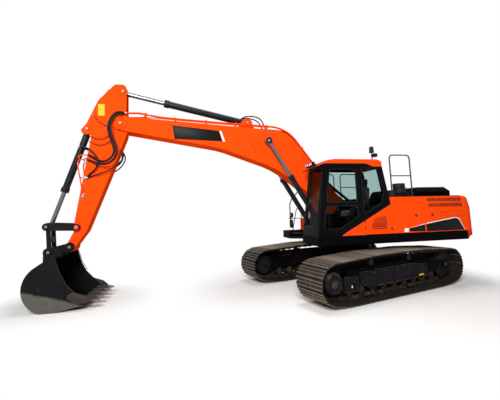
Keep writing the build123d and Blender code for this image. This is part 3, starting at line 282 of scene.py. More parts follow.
def shoe_steel(name):
    finish = Finish(name)
    rub_and_shade = finish.node("Attribute", {"attribute_name": "rub_and_shade"}, output="Fac")
    tone = finish.node("Attribute", {"attribute_name": "tone"}, output="Fac")
    grain = finish.noise(28, 6, 0.7)
    cakes = finish.noise(5, 5, 0.65)
    bare = finish.step(rub_and_shade + grain * 0.5, 0.75, 1.2)
    base = finish.mix((0.020, 0.016, 0.013, 1), (0.075, 0.058, 0.047, 1), grain)
    base = finish.mix(base, (0.13, 0.098, 0.076, 1), finish.step(cakes, 0.48, 0.68) * 0.7)
    # Painted shade: the low parts of each shoe, between its grousers, are darkened nearly to black.
    base = finish.mix(base, (0.004, 0.0035, 0.003, 1), finish.step(0.6 - rub_and_shade, 0.1, 0.5) * 0.85)
    base = finish.mix(base, (0.34, 0.275, 0.225, 1), bare * 0.75)
    base = finish.mix(base, (0.012, 0.010, 0.008, 1), tone * 0.5)
    rough = 0.82 - bare * 0.38
    return finish.surface(base, rough, metallic=bare * 0.3, height=grain + cakes * 0.6, depth=0.004,
                          Specular_IOR_Level=0.12)


def wheel_iron(name):
    finish = Finish(name)
    grain = finish.noise(30, 6, 0.7)
    cakes = finish.step(finish.noise(8, 5, 0.6), 0.48, 0.66)
    base = finish.mix((0.006, 0.005, 0.0045, 1), (0.035, 0.026, 0.021, 1), grain)
    base = finish.mix(base, (0.10, 0.073, 0.055, 1), cakes * 0.5)
    return finish.surface(base, 0.62 + cakes * 0.25, height=grain, depth=0.003, Specular_IOR_Level=0.1)


# %% [markdown]
# The bucket is painted black, but along its heel and floor, where it slides through the soil,
# the paint is rubbed off its cheeks. A picture could be painted for that, but a mask built from
# height and reach finds the zone by itself. Teeth shine at their tips, and nuts are plated.


# %% Bucket, teeth and plated steel
def bucket_steel(name):
    """Black paint, rubbed off on the cheeks along the heel and the floor."""
    finish = Finish(name)
    grain = finish.noise(22, 6, 0.7)
    ragged = finish.noise(2.6, 5, 0.65)
    height = finish.part(finish.place, 2)
    reach = finish.part(finish.place, 0)
    line = height + (reach - 6.9) * -0.3 + (ragged - 0.5) * 0.12
    cheek = finish.node("Math", {"operation": "ABSOLUTE"}, {0: finish.part(finish.place, 1)})
    worn = (1 - finish.step(line, 0.27, 0.34)) * finish.step(cheek, 0.694, 0.699)
    edge = finish.step(finish.noise(45, 5, 0.7), 0.6, 0.68)
    scuff = finish.step(finish.noise(12, 5, 0.7, finish.scaled((1, 1, 0.25))), 0.58, 0.7)
    base = finish.mix((0.0035, 0.0038, 0.0045, 1), (0.012, 0.0115, 0.0115, 1), scuff)
    steel = finish.mix((0.04, 0.038, 0.034, 1), (0.13, 0.12, 0.105, 1), grain)
    steel = finish.mix(steel, (0.10, 0.08, 0.065, 1), edge * 0.7)
    colour = finish.mix(base, steel, worn)
    return finish.surface(colour, 0.46 + grain * 0.2 + worn * 0.08, metallic=worn * 0.25,
                          height=grain + edge * 0.4 - worn * 0.5, depth=0.0025, Specular_IOR_Level=0.08)


def tooth_steel(name):
    finish = Finish(name)
    grain = finish.noise(40, 6, 0.7)
    reach = finish.part(finish.place, 0)
    tip = 1 - finish.step(reach + grain * 0.06, 6.0, 6.16)
    base = finish.mix((0.012, 0.010, 0.009, 1), (0.05, 0.04, 0.034, 1), grain)
    base = finish.mix(base, (0.20, 0.155, 0.13, 1), tip * 0.8)
    return finish.surface(base, 0.62 - tip * 0.15, metallic=tip * 0.3, height=grain, depth=0.003,
                          Specular_IOR_Level=0.15)


def bright_steel(name, colour=(0.30, 0.305, 0.31, 1), roughness=0.34):
    """Zinc-plated nuts and elbows."""
    finish = Finish(name)
    film = finish.noise(35, 4, 0.6)
    tint = finish.mix(colour, shade(colour, 0.6), film)
    return finish.surface(tint, film * 0.25 + roughness, metallic=0.9, height=film, depth=0.0004)


finishes["rod_chrome"] = chrome("rod_chrome")
finishes["shoe_steel"] = shoe_steel("shoe_steel")
finishes["wheel_iron"] = wheel_iron("wheel_iron")
finishes["bucket_steel"] = bucket_steel("bucket_steel")
finishes["tooth_steel"] = tooth_steel("tooth_steel")
finishes["zinc"] = bright_steel("zinc")
finishes["pin_steel"] = bright_steel("pin_steel", (0.22, 0.215, 0.21, 1), 0.4)
print("with metals", len(finishes))

# %% [markdown]
# ## Rubber, plastic, cloth, glass and lamps
# Rubber hoses are matt with a fine cloth print, moulded plastic has a leather-like grain, and the seat is
# woven. The glass is tinted a dull blue-green and bends light very little, as a thin pane does. Lamps have
# clear lenses with a faint painted glow, which stands for light reflected from the bright bowls behind them.
# Thin film covers the bare plates, and black film also paints the shade in holes, slits and the cab.


# %% Plastics, cloth and glass
def moulded(name, colour, roughness, grain_scale=260, dusty=0.35):
    finish = Finish(name)
    grain = finish.noise(grain_scale, 2)
    film = finish.step(finish.noise(7, 5, 0.6), 0.42, 0.75) * dusty
    up = finish.facing_up()
    base = finish.mix(shade(colour, 0.8), shade(colour, 1.25), finish.noise(3, 3))
    base = finish.mix(base, dust_colour, film * (up * 0.7 + 0.15))
    return finish.surface(base, roughness + film * 0.3, height=grain, depth=0.0006, Specular_IOR_Level=0.08)


def cloth(name, colour):
    finish = Finish(name)
    threads = {"Vector": finish.place, "Scale": 130, "Distortion": 0.6}
    across = finish.node("TexWave", {"bands_direction": "X"}, threads)
    along = finish.node("TexWave", {"bands_direction": "Z"}, threads)
    weave = across * along
    base = finish.mix(shade(colour, 0.6), shade(colour, 1.5), weave)
    return finish.surface(base, 0.85, height=weave, depth=0.0008, Sheen_Weight=0.2)


def clear_glass(name, tint, dusty=0.008):
    finish = Finish(name)
    film = finish.step(finish.noise(4, 5, 0.65), 0.4, 0.85) * dusty
    colour = finish.mix(tint, (0.55, 0.52, 0.47, 1), film)
    return finish.surface(colour, film * 0.8 + 0.02, Transmission_Weight=1.0, IOR=1.05)


def lamp_lens(name, tint, painted_glow):
    finish = Finish(name)
    ribs = finish.node("TexWave", {"bands_direction": "Y"}, {"Vector": finish.place, "Scale": 45})
    cells = finish.noise(60, 3)
    colour = finish.mix(tint, shade(tint, 0.6), ribs * 0.6 + cells * 0.3)
    # The emission is a painted glow, standing for light reflected from the lamp's bowl.
    return finish.surface(colour, 0.12, height=ribs, depth=0.001, coat=0.8,
                          Emission_Color=colour, Emission_Strength=painted_glow)


finishes["black_plastic"] = moulded("black_plastic", (0.007, 0.007, 0.008, 1), 0.5)
finishes["lamp_plastic"] = moulded("lamp_plastic", (0.007, 0.007, 0.008, 1), 0.4, dusty=0.2)
finishes["rubber"] = moulded("rubber", (0.006, 0.006, 0.007, 1), 0.42, grain_scale=420, dusty=0.15)
finishes["seat_fabric"] = cloth("seat_fabric", (0.010, 0.0105, 0.012, 1))
finishes["glass"] = clear_glass("glass", (0.56, 0.67, 0.66, 1))
finishes["lamp_lens"] = lamp_lens("lamp_lens", (0.92, 0.86, 0.78, 1), 0.35)
finishes["white_film"] = moulded("white_film", (0.72, 0.72, 0.70, 1), 0.35, dusty=0.2)
finishes["yellow_film"] = moulded("yellow_film", (0.76, 0.42, 0.03, 1), 0.4, dusty=0.2)
# Black film for bare plates and seams, also used as painted shade in holes, slits and inside the cab.
finishes["black_film"] = moulded("black_film", (0.0035, 0.0035, 0.004, 1), 0.4, dusty=0.05)
print("finishes", len(finishes))

# %% [markdown]
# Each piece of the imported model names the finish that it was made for. That name picks the
# material here, so the two can't drift apart.

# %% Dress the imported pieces
for row in frame["record"]["subparts"]:
    packed = frame["nodes"][row["node"]]
    packed.data.materials.clear()
    packed.data.materials.append(finishes[row["material_slot"]])

# %% [markdown]
# ## Modelling helpers
# New pieces start from a primitive and are shaped in edit mode. The helpers keep three habits:
# drop the old selection first, put the piece's place into its mesh at the end, and point all
# faces outwards.


# %% Helpers for shapes
def deselect():
    """Leave edit mode and drop the selection, so that an operator acts on its own piece only."""
    if bpy.context.object and bpy.context.object.mode != "OBJECT":
        bpy.ops.object.mode_set(mode="OBJECT")
    bpy.ops.object.select_all(action="DESELECT")


def pick(piece):
    """Select one piece and make it the active one."""
    deselect()
    piece.select_set(True)
    bpy.context.view_layer.objects.active = piece


def soften(piece, edge, segments=2, sharpness=40):
    """Bevel the sharp edges, which catch the light on any real piece."""
    pick(piece)
    bpy.ops.object.mode_set(mode="EDIT")
    bpy.ops.mesh.select_all(action="SELECT")
    bpy.ops.mesh.normals_make_consistent(inside=False)
    bpy.ops.mesh.select_all(action="DESELECT")
    bpy.ops.mesh.select_mode(type="EDGE")
    bpy.ops.mesh.edges_select_sharp(sharpness=radians(sharpness))
    if edge:
        bpy.ops.mesh.bevel(offset=edge, segments=segments, affect="EDGES")
    bpy.ops.object.mode_set(mode="OBJECT")
    bpy.ops.object.shade_smooth_by_angle(angle=radians(35))
    return piece


def place_in_mesh(piece):
    """Put the object's place and turn into its mesh."""
    pick(piece)
    bpy.ops.object.transform_apply(location=True, rotation=True, scale=True)
    return piece


# %% [markdown]
# Most pieces are a flat outline pulled out, a block or a round bar. They could be drawn vertex
# by vertex, but Blender's own circle, cube and cone give closed shapes at once. Each is shaped
# to its size and gets soft edges.

# %% Outlines, blocks and bars
drawn_on = {
    "X": lambda a, b, h: (h, a, b),
    "Y": lambda a, b, h: (a, h, b),
    "Z": lambda a, b, h: (a, b, h),
}


def prism(outline, low, high, axis="Y", edge=0.004):
    """A plate or block: an outline pulled along an axis, from low to high."""
    deselect()
    bpy.ops.mesh.primitive_circle_add(vertices=len(outline), fill_type="NGON")
    piece = bpy.context.active_object
    for corner, (a, b) in zip(piece.data.vertices, outline):
        corner.co = drawn_on[axis](a, b, low)
    bpy.ops.object.mode_set(mode="EDIT")
    bpy.ops.mesh.select_all(action="SELECT")
    pull = drawn_on[axis](0, 0, high - low)
    bpy.ops.mesh.extrude_region_move(TRANSFORM_OT_translate={"value": pull})
    return soften(piece, edge)


def block(centre, size, edge=0.004):
    """A block with soft edges."""
    deselect()
    bpy.ops.mesh.primitive_cube_add(size=1, location=centre, scale=size)
    return soften(place_in_mesh(bpy.context.active_object), edge)


def round_bar(start, end, radius, sides=20, edge=0.0, end_radius=None):
    """A round bar or cone between two points."""
    start, end = Vector(start), Vector(end)
    run = end - start
    deselect()
    bpy.ops.mesh.primitive_cone_add(
        vertices=sides, radius1=radius, radius2=radius if end_radius is None else end_radius,
        depth=run.length, location=(start + end) / 2, rotation=run.to_track_quat("Z", "Y").to_euler(),
    )
    return soften(place_in_mesh(bpy.context.active_object), edge)


# %% [markdown]
# A pipe is bent round its corners. Cylinders put end to end would show a crease there, so a line
# of edges has its corners bevelled, and then becomes a curve whose thickness makes the pipe.


# %% Pipes
def pipe(points, radius, bend=0.06, sides=3, closed=False):
    """A pipe or cord through the points, with its corners rounded like a bent pipe's."""
    line = bpy.data.meshes.new("pipe")
    count = len(points)
    line.from_pydata(points, [(i, (i + 1) % count) for i in range(count if closed else count - 1)], [])
    piece = bpy.data.objects.new("pipe", line)
    bpy.context.scene.collection.objects.link(piece)
    pick(piece)
    if count > 2:
        bpy.ops.object.mode_set(mode="EDIT")
        bpy.ops.mesh.select_all(action="DESELECT")
        bpy.ops.object.mode_set(mode="OBJECT")
        for corner in piece.data.vertices if closed else piece.data.vertices[1:-1]:
            corner.select = True
        bpy.ops.object.mode_set(mode="EDIT")
        bpy.ops.mesh.select_mode(type="VERT")
        bpy.ops.mesh.bevel(offset=bend, segments=5, affect="VERTICES")
        bpy.ops.object.mode_set(mode="OBJECT")
    bpy.ops.object.convert(target="CURVE")
    piece = bpy.context.active_object
    piece.data.bevel_depth = radius
    piece.data.bevel_resolution = sides
    piece.data.use_fill_caps = not closed
    bpy.ops.object.convert(target="MESH")
    return soften(bpy.context.active_object, 0)


# %% [markdown]
# What repeats is modelled once and copied, each copy with its own mesh, so that the copies can be
# joined. A piece then gets its finish, and rides on the body that carries it.


# %% Copies and fitting
def joined(name, pieces):
    """Several pieces made one."""
    deselect()
    for piece in pieces:
        piece.select_set(True)
    bpy.context.view_layer.objects.active = pieces[0]
    if len(pieces) > 1:
        bpy.ops.object.join()
    pieces[0].name = name
    pieces[0].data.name = name
    return pieces[0]


def copies(model, places):
    """Copies of a model, each with its own mesh, at the places given as matrices. The model goes."""
    made = []
    for place in places:
        twin = model.copy()
        twin.data = model.data.copy()
        twin.data.transform(place)
        if place.to_3x3().determinant() < 0:
            twin.data.flip_normals()
        bpy.context.scene.collection.objects.link(twin)
        made.append(twin)
    bpy.data.objects.remove(model)
    return made


def fit(name, pieces, finish, body, slot=None):
    """Join the pieces, give them their finish, and let them ride on a body."""
    piece = joined(name, pieces)
    piece.data.materials.clear()
    piece.data.materials.append(finishes[finish])
    slots = [row["slot"] for row in frame["record"]["materials"]]
    slot or finish in slots
    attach(piece, body)
    print(name, len(piece.data.polygons), "faces on", body)
    return piece


def sides(action):
    """The same thing done on the left and on the right."""
    return [piece for sign in (1, -1) for piece in action(sign)]


# %% [markdown]
# ## Track shoes
# A track is a chain of links with a shoe bolted on each. A shoe is a rolled plate with three
# low bars across it, called grousers, which bite the ground. One shoe is modelled and copied
# round the chain. The chain's path is a taut line round sprocket, idler and rollers, so the
# pins are found by walking along the hull of those circles in equal steps.

# %% The chain's pins
track_turn = radians(15.9)
track_along = Vector((cos(track_turn), sin(track_turn), 0))
track_across = Vector((-sin(track_turn), cos(track_turn), 0))
track_y = 1.295
wheels = (
    (1.92, 0.473, 0.323), (-1.92, 0.463, 0.323), (1.5, 0.222, 0.132), (-1.5, 0.222, 0.132),
    (0.64, 0.738, 0.122), (-0.64, 0.738, 0.122),
)
first_pin = Vector((1.96428, 0.15305))


def hull_of(circles, steps=1440):
    """The taut line round the circles, as closely spaced points."""
    line = []
    for i in range(steps):
        turn = 2 * pi * i / steps
        x, z, r = max(circles, key=lambda c: c[0] * cos(turn) + c[1] * sin(turn) + c[2])
        line.append(Vector((x + r * cos(turn), z + r * sin(turn))))
    return line


def even_steps(line, start, pitch):
    """Points along a closed line, as near to a pitch apart as divides it evenly."""
    first = min(range(len(line)), key=lambda i: (line[i] - start).length)
    line = line[first:] + line[:first + 1]
    lengths = [(b - a).length for a, b in zip(line, line[1:])]
    total = sum(lengths)
    count = round(total / pitch)
    points, walked, i = [], 0.0, 0
    for n in range(count):
        goal = n * total / count
        while walked + lengths[i] < goal:
            walked += lengths[i]
            i += 1
        points.append(line[i].lerp(line[i + 1], (goal - walked) / lengths[i]))
    return points


pins = even_steps(hull_of(wheels), first_pin, 0.19)
pitch = (pins[1] - pins[0]).length
print("shoes on each track", len(pins), "pitch", round(pitch, 4))

# %% [markdown]
# A shoe lies in its link's own frame: X from one pin to the next, Y across the track, and Z
# away from the wheels. Its edge profile is drawn once and pulled across the track.

# %% One shoe and one link
shoe_profile = (
    (-0.034, 0.041), (-0.032, 0.047), (-0.004, 0.053), (0.003, 0.066), (0.012, 0.089), (0.021, 0.089),
    (0.030, 0.067), (0.084, 0.064), (0.091, 0.087), (0.100, 0.087), (0.107, 0.064), (0.150, 0.064),
    (0.158, 0.087), (0.167, 0.087), (0.175, 0.066), (0.1835, 0.060), (0.1835, 0.054), (0.170, 0.055),
    (0.012, 0.052), (0.0, 0.046),
)
shoe_half = 0.4


def shoe():
    """One shoe with its four bolts."""
    plate = prism(shoe_profile, -shoe_half, shoe_half, edge=0.0015)
    bolts = [
        round_bar((x, y, 0.062), (x, y, 0.079), 0.013, sides=6, edge=0.0015)
        for x in (0.057, 0.128) for y in (-0.075, 0.075)
    ]
    return joined("shoe", [plate, *bolts])


def link():
    """A pair of chain links with the bushing that the sprocket turns."""
    cheek = ((-0.045, -0.03), (-0.03, -0.048), (0.03, -0.048), (0.06, -0.034), (0.13, -0.034), (0.16, -0.048),
             (0.22, -0.048), (0.235, -0.03), (0.235, 0.03), (0.21, 0.05), (-0.02, 0.05), (-0.045, 0.03))
    cheeks = sides(lambda sign: [prism(cheek, sign * 0.075 - 0.02, sign * 0.075 + 0.02, edge=0.004)])
    return joined("link", [*cheeks, round_bar((0, -0.11, 0), (0, 0.11, 0), 0.032, sides=12)])


def mark(piece, low, high):
    """Store how far out each vertex lies, from 0 to 1."""
    rub_and_shade = piece.data.attributes.new("rub_and_shade", "FLOAT", "POINT")
    for corner, value in zip(piece.data.vertices, rub_and_shade.data):
        value.value = min(1.0, max(0.0, (corner.co.z - low) / (high - low)))


def tint(pieces, seed):
    """Give each copy a tone of its own."""
    draw = random.Random(seed)
    for piece in pieces:
        tone = piece.data.attributes.new("tone", "FLOAT", "POINT")
        value = draw.random()
        tone.data.foreach_set("value", [value] * len(piece.data.vertices))


def link_place(i, offset):
    """Where link i's own frame lies on the track at an offset from the machine's middle."""
    here, there = pins[i], pins[(i + 1) % len(pins)]
    run = (there - here).normalized()
    along = track_along * run.x + Vector((0, 0, run.y))
    out = track_along * run.y - Vector((0, 0, run.x))
    turned = Matrix((along, out.cross(along), out)).transposed().to_4x4()
    return Matrix.Translation(track_across * offset + track_along * here.x + Vector((0, 0, here.y))) @ turned


# %% [markdown]
# The copies of a track are joined, so each track is two pieces: its shoes and its chain. They
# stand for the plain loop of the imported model.

# %% Both tracks
for name, offset in (("left", track_y), ("right", -track_y)):
    places = [link_place(i, offset) for i in range(len(pins))]
    model = shoe()
    mark(model, 0.05, 0.088)
    shoes = copies(model, places)
    tint(shoes, seed=5)
    piece = fit(f"shoes_{name}", shoes, "shoe_steel", "undercarriage")
    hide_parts(f"track_{name}")
    fit(f"chain_{name}", copies(link(), places), "wheel_iron", "undercarriage")

# %% [markdown]
# ## The smooth line of a hose
# A hose bends evenly, so its line is a NURBS spline over a few points. Blender reads the line back as points
# when the curve has no thickness. The same spline with a thickness then becomes the rubber tube.


# %% Hoses
def hose_line(points, thickness=0.0):
    """The smooth line over the route's points, or a tube round it."""
    curve = bpy.data.curves.new("hose", "CURVE")
    curve.dimensions = "3D"
    curve.resolution_u = 10
    curve.bevel_depth = thickness
    curve.bevel_resolution = 3
    curve.use_fill_caps = True
    spline = curve.splines.new("NURBS")
    spline.points.add(len(points) - 1)
    for point, place in zip(spline.points, points):
        point.co = (*place, 1)
    spline.order_u = 3
    spline.use_endpoint_u = True
    holder = bpy.data.objects.new("hose", curve)
    bpy.context.scene.collection.objects.link(holder)
    return holder


def hose(name, points, radius, body, far_body=None, start=None, end=None):
    """A rubber hose along the smooth line over the points. It rides on its body, or, when it has a far body,
    stays where it is.
    """
    holder = hose_line(points)
    line = bpy.data.meshes.new_from_object(holder)
    bpy.data.objects.remove(holder)
    tube = hose_line(points, radius)
    pick(tube)
    bpy.ops.object.convert(target="MESH")
    piece = soften(bpy.context.active_object, 0)
    piece.name = name
    piece.data.name = name
    piece.data.materials.clear()
    piece.data.materials.append(finishes["rubber"])
    if far_body:
        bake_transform(piece)
    else:
        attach(piece, body)
    return piece


def mirrored(points, sign):
    """The same points on the left, or on the right when sign is -1."""
    return [(x, sign * y, z) for x, y, z in points]


# %% [markdown]
# ## Pipes along the boom
# Oil reaches the arm and the bucket through steel pipes on the boom's top, painted with it.
# Two pairs run to the boom's tip and a third pair ends at the arm cylinder. Clamps hold them
# clear of the plate, and plated nuts join their ends to the hoses. A pipe is a bent line that
# is given a thickness, which keeps its corners round, as a bending machine leaves them.

# %% Boom pipes
pipe_r = 0.016
pipe_low = ((0.575, 2.715), (1.371, 3.776), (1.484, 3.891), (1.618, 3.984), (1.766, 4.048), (1.925, 4.09))
pipe_high = ((2.095, 4.10), (2.838, 4.133), (3.352, 4.155), (4.316, 4.207), (4.809, 4.241), (5.297, 4.325))
pipe_end = ((5.598, 4.314),)


def boom_pipes(sign):
    long = pipe_low + pipe_high + pipe_end
    thin = (*pipe_high[:-1], (5.25, 4.262))
    short = (*pipe_low[:4], (1.78, 4.02), (1.92, 4.028), (2.05, 4.032))
    made = [pipe([(x, sign * y, z) for x, z in long], pipe_r, 0.05) for y in (0.205, 0.155)]
    made.append(pipe([(x, sign * 0.222, z - 0.042) for x, z in thin], 0.012, 0.05))
    return [*made, pipe([(x, sign * 0.1, z) for x, z in short], pipe_r, 0.05)]


def hex_nut(start, end, radius):
    """A nut or bolt head between two points."""
    return round_bar(start, end, radius, sides=6, edge=0.002)


def flipped(sign):
    """A turn that leaves a piece as it is on the left, and mirrors it where sign is -1."""
    return Matrix.Diagonal((1, sign, 1, 1))


def pipe_nuts(sign):
    ends = [((5.585, y, 4.315), (5.635, y, 4.31)) for y in (0.205, 0.155)]
    ends += [((2.04, 0.1, 4.032), (2.095, 0.1, 4.034)), ((5.02, 0.205, 4.284), (5.08, 0.205, 4.296))]
    ends += [((0.585, y, 2.728), (0.55, y, 2.684)) for y in (0.205, 0.155, 0.1)]
    return [hex_nut(*mirrored(pair, sign), 0.026) for pair in ends]


clamp_spots = (
    (0.85, 3.10, 51.3), (1.18, 3.53, 51.3), (2.15, 4.104, 3.0), (2.95, 4.138, 3.0), (3.7, 4.173, 3.0),
    (4.45, 4.212, 3.0), (5.15, 4.30, 11.0),
)


def pipe_clamp():
    """Two pipes on Y .155 and .205 under a strap, with the block that they lie in."""
    bed = block((0, 0.18, -0.052), (0.05, 0.1, 0.075), 0.004)
    strap = block((0, 0.18, 0.012), (0.045, 0.1, 0.018), 0.004)
    bolts = [hex_nut((0, y, 0.018), (0, y, 0.031), 0.011) for y in (0.136, 0.18, 0.224)]
    return joined("clamp", [bed, strap, *bolts])


fit("boom_pipes", sides(boom_pipes), "orange_paint", "boom")
fit("boom_pipe_nuts", sides(pipe_nuts), "zinc", "boom", "rod_chrome")
clamp_places = [
    Matrix.Translation((x, 0, z)) @ Matrix.Rotation(-radians(tilt), 4, "Y") @ flipped(sign)
    for x, z, tilt in clamp_spots for sign in (1, -1)
]
fit("boom_pipe_clamps", copies(pipe_clamp(), clamp_places), "orange_paint", "boom")

# %% [markdown]
# ## Hoses round the boom's tip
# Where the arm turns on the boom, the pipes give way to rubber hoses, long enough to follow the arm both ways.
# They hang in loops beside the arm's head. The ends move with different bodies, so these hoses ride on neither
# and stay where they are.

# %% Hoses from boom to arm
thick_route = (
    (5.62, 0.205, 4.312), (5.76, 0.27, 4.30), (5.86, 0.33, 4.17), (5.925, 0.345, 3.93), (5.86, 0.345, 3.68),
    (5.745, 0.34, 3.44), (5.76, 0.33, 3.22), (5.93, 0.32, 3.065), (6.15, 0.28, 3.06), (6.30, 0.21, 3.14),
    (6.42, 0.186, 3.18),
)
second_route = (
    (5.62, 0.155, 4.312), (5.74, 0.23, 4.36), (5.90, 0.285, 4.22), (5.985, 0.29, 3.95), (5.93, 0.285, 3.70),
    (5.83, 0.28, 3.46), (5.83, 0.27, 3.29), (5.97, 0.26, 3.135), (6.15, 0.24, 3.14), (6.30, 0.2, 3.25),
    (6.41, 0.186, 3.29),
)
across = {"start": (5.80, 0, 4.25), "end": (6.25, 0, 3.15)}
for side, sign in (("left", 1), ("right", -1)):
    for number, route in ((1, thick_route), (2, second_route)):
        hose(f"arm_hose_{side}_{number}", mirrored(route, sign), 0.024, "boom", "arm", **across)

# %% [markdown]
# The arm carries more hoses: a pair that loops behind its head to the pipes, a pair for the
# bucket's cylinder, and three thin ones on each side for grease. Both ends of each are on the
# arm, so they ride on it and never stretch.

# %% Hoses on the arm
loop_behind = (
    (6.39, 0.186, 2.76), (6.32, 0.2, 2.79), (6.13, 0.225, 2.85), (5.95, 0.235, 2.92), (5.77, 0.21, 3.04),
    (5.66, 0.15, 3.20), (5.64, 0.1, 3.33), (5.70, 0.06, 3.41),
)
curl_route = (
    (6.61, 0.098, 3.50), (6.53, 0.17, 3.49), (6.36, 0.225, 3.42), (6.22, 0.235, 3.28), (6.17, 0.235, 3.12),
    (6.20, 0.23, 2.98), (6.31, 0.2, 2.88), (6.40, 0.186, 2.79),
)
thin_routes = (
    ((6.325, 0.18, 4.25), (6.24, 0.19, 4.12), (6.15, 0.195, 4.05), (6.06, 0.195, 4.0), (5.96, 0.186, 3.97)),
    ((6.36, 0.178, 3.735), (6.28, 0.19, 3.68), (6.17, 0.195, 3.66), (6.05, 0.195, 3.69), (5.94, 0.186, 3.78)),
    ((6.37, 0.178, 3.60), (6.27, 0.19, 3.54), (6.15, 0.195, 3.52), (6.02, 0.195, 3.55), (5.90, 0.186, 3.65)),
)
for side, sign in (("left", 1), ("right", -1)):
    hose(f"aux_hose_{side}", mirrored(loop_behind, sign), 0.015, "arm")
    hose(f"bucket_hose_{side}", mirrored(curl_route, sign), 0.018, "arm")
    for number, route in enumerate(thin_routes, 1):
        hose(f"thin_hose_{side}_{number}", mirrored(route, sign), 0.008, "arm")

# %% [markdown]
# The hoses end in flanges bolted to the arm's sides, from which orange pipes run on to the
# bucket's end. One flange is modelled: a block with four bolts and a swivel nut.


# %% Flanges and pipes on the arm
def flange():
    """A port block that stands out along Y, with its nut."""
    base = block((0, 0.012, 0), (0.085, 0.024, 0.07), 0.005)
    neck = round_bar((0, 0.02, 0), (0, 0.055, 0), 0.026, sides=20, edge=0.003)
    nut = hex_nut((-0.02, 0.045, 0), (-0.065, 0.045, 0.006), 0.024)
    bolts = [hex_nut((x, 0.022, z), (x, 0.034, z), 0.009) for x in (-0.03, 0.03) for z in (-0.024, 0.024)]
    return joined("flange", [base, neck, nut, *bolts])


flange_places = [
    Matrix.Translation((x, sign * 0.16, z)) @ flipped(sign) @ Matrix.Rotation(radians(turn), 4, "Y")
    for x, z, turn in ((6.44, 2.755, 0), (6.47, 2.34, 60)) for sign in (1, -1)
]
fit("arm_flanges", copies(flange(), flange_places), "zinc", "arm", "rod_chrome")


def arm_pipes(sign):
    y = sign * 0.195
    long = ((6.48, 3.18), (6.60, 3.17), (6.605, 3.03), (6.53, 2.66), (6.475, 2.36))
    short = ((6.45, 3.29), (6.58, 3.28), (6.59, 3.2))
    down = pipe([(x, y, z) for x, z in long], 0.014, 0.045)
    stub = pipe([(x, y, z) for x, z in short], 0.014, 0.03)
    clips = [block((x, sign * 0.182, z), (0.05, 0.044, 0.035), 0.003) for x, z in ((6.535, 2.76), (6.495, 2.5))]
    return [down, stub, *clips]


def arm_nuts(sign):
    pairs = (
        ((6.41, 0.186, 3.179), (6.47, 0.19, 3.181)), ((6.40, 0.186, 3.288), (6.46, 0.19, 3.288)),
        ((6.603, 0.195, 3.10), (6.604, 0.195, 3.06)), ((6.63, 0.09, 3.502), (6.58, 0.12, 3.498)),
        ((6.33, 0.178, 4.26), (6.315, 0.182, 4.235)), ((6.385, 0.176, 3.745), (6.35, 0.18, 3.731)),
        ((6.395, 0.176, 3.61), (6.36, 0.18, 3.596)), ((6.59, 0.195, 2.90), (6.575, 0.195, 2.84)),
    )
    ports = [block((6.625, sign * 0.075, 3.50), (0.05, 0.05, 0.06), 0.004)]
    return [hex_nut(*mirrored(pair, sign), 0.017) for pair in pairs] + ports


fit("arm_pipes", sides(arm_pipes), "orange_paint", "arm")
fit("arm_nuts", sides(arm_nuts), "zinc", "arm", "rod_chrome")

# %% [markdown]
# ## Hoses of the arm cylinder and at the boom's foot
# Behind the arm cylinder, two short hoses rise from the pipes and enter its head. At the boom's foot the pipes
# end in hoses again, which hang down to the valve on the deck. Their ends move with different bodies, so they
# ride on neither and stay where they are.

# %% Arm cylinder hoses and boom foot hoses
cylinder_route = (
    (2.09, 0.1, 4.032), (2.16, 0.11, 4.05), (2.21, 0.13, 4.20), (2.29, 0.13, 4.32), (2.43, 0.12, 4.375),
    (2.60, 0.085, 4.385), (2.72, 0.06, 4.36), (2.79, 0.05, 4.31),
)
foot_route = (
    (0.555, 2.688), (0.47, 2.59), (0.28, 2.42), (0.08, 2.27), (-0.10, 2.12), (-0.22, 1.97), (-0.34, 1.90),
    (-0.475, 1.90),
)
bends = {"start": (0.45, 0, 2.6), "end": (-0.1, 0, 2.05)}
for side, sign in (("left", 1), ("right", -1)):
    hose(f"cylinder_hose_{side}", mirrored(cylinder_route, sign), 0.016, "boom")
    for number, y in enumerate((0.205, 0.155, 0.1), 1):
        route = [(x, sign * y, z) for x, z in foot_route]
        hose(f"foot_hose_{side}_{number}", route, 0.018, "boom", "upper", **bends)

# %% [markdown]
# ## Pins and their locks
# Each pivot has a steel pin. Its end shows as a bright disc with a grease nipple in the middle,
# kept from turning by a small plate with two bolts. One end is modelled and copied to every
# pin, scaled to its radius.


# %% Pin ends
def pin_end():
    """The end of a pin of radius 1, standing out along Y, in two pieces."""
    disc = round_bar((0, 0, 0), (0, 0.1, 0), 0.66, sides=28, edge=0.05)
    nipple = round_bar((0, 0.08, 0), (0, 0.22, 0), 0.16, sides=8, edge=0.03, end_radius=0.1)
    return joined("pin_end", [disc, nipple])


boom_rod_pin = ((2.131, 3.677), 0.3955, 0.055)
pin_rows = {
    "boom": (((2.621, 4.209), 0.1325, 0.045), ((5.715, 4.053), 0.2675, 0.045)),
    "boom_rod_left": (boom_rod_pin,),
    "boom_rod_right": (boom_rod_pin,),
    "arm": (
        ((5.693, 4.869), 0.1725, 0.045), ((6.460, 3.916), 0.1725, 0.045), ((6.569, 1.655), 0.2545, 0.045),
    ),
    "upper": (((0.135, 1.894), 0.2975, 0.055), ((0.790, 1.445), 0.4485, 0.045)),
    "guide_links": (((7.167, 1.683), 0.2605, 0.045),),
    "bucket": (((6.704, 1.228), 0.2075, 0.045), ((7.120, 1.130), 0.2075, 0.045)),
}
for body, rows in pin_rows.items():
    signs = {"boom_rod_left": (1,), "boom_rod_right": (-1,)}.get(body, (1, -1))
    places = [
        Matrix.Translation((x, sign * y, z)) @ Matrix.Diagonal((r, sign * r, r, 1))
        for (x, z), y, r in rows for sign in signs
    ]
    fit(f"pin_ends_{body}", copies(pin_end(), places), "pin_steel", body, "link_steel")
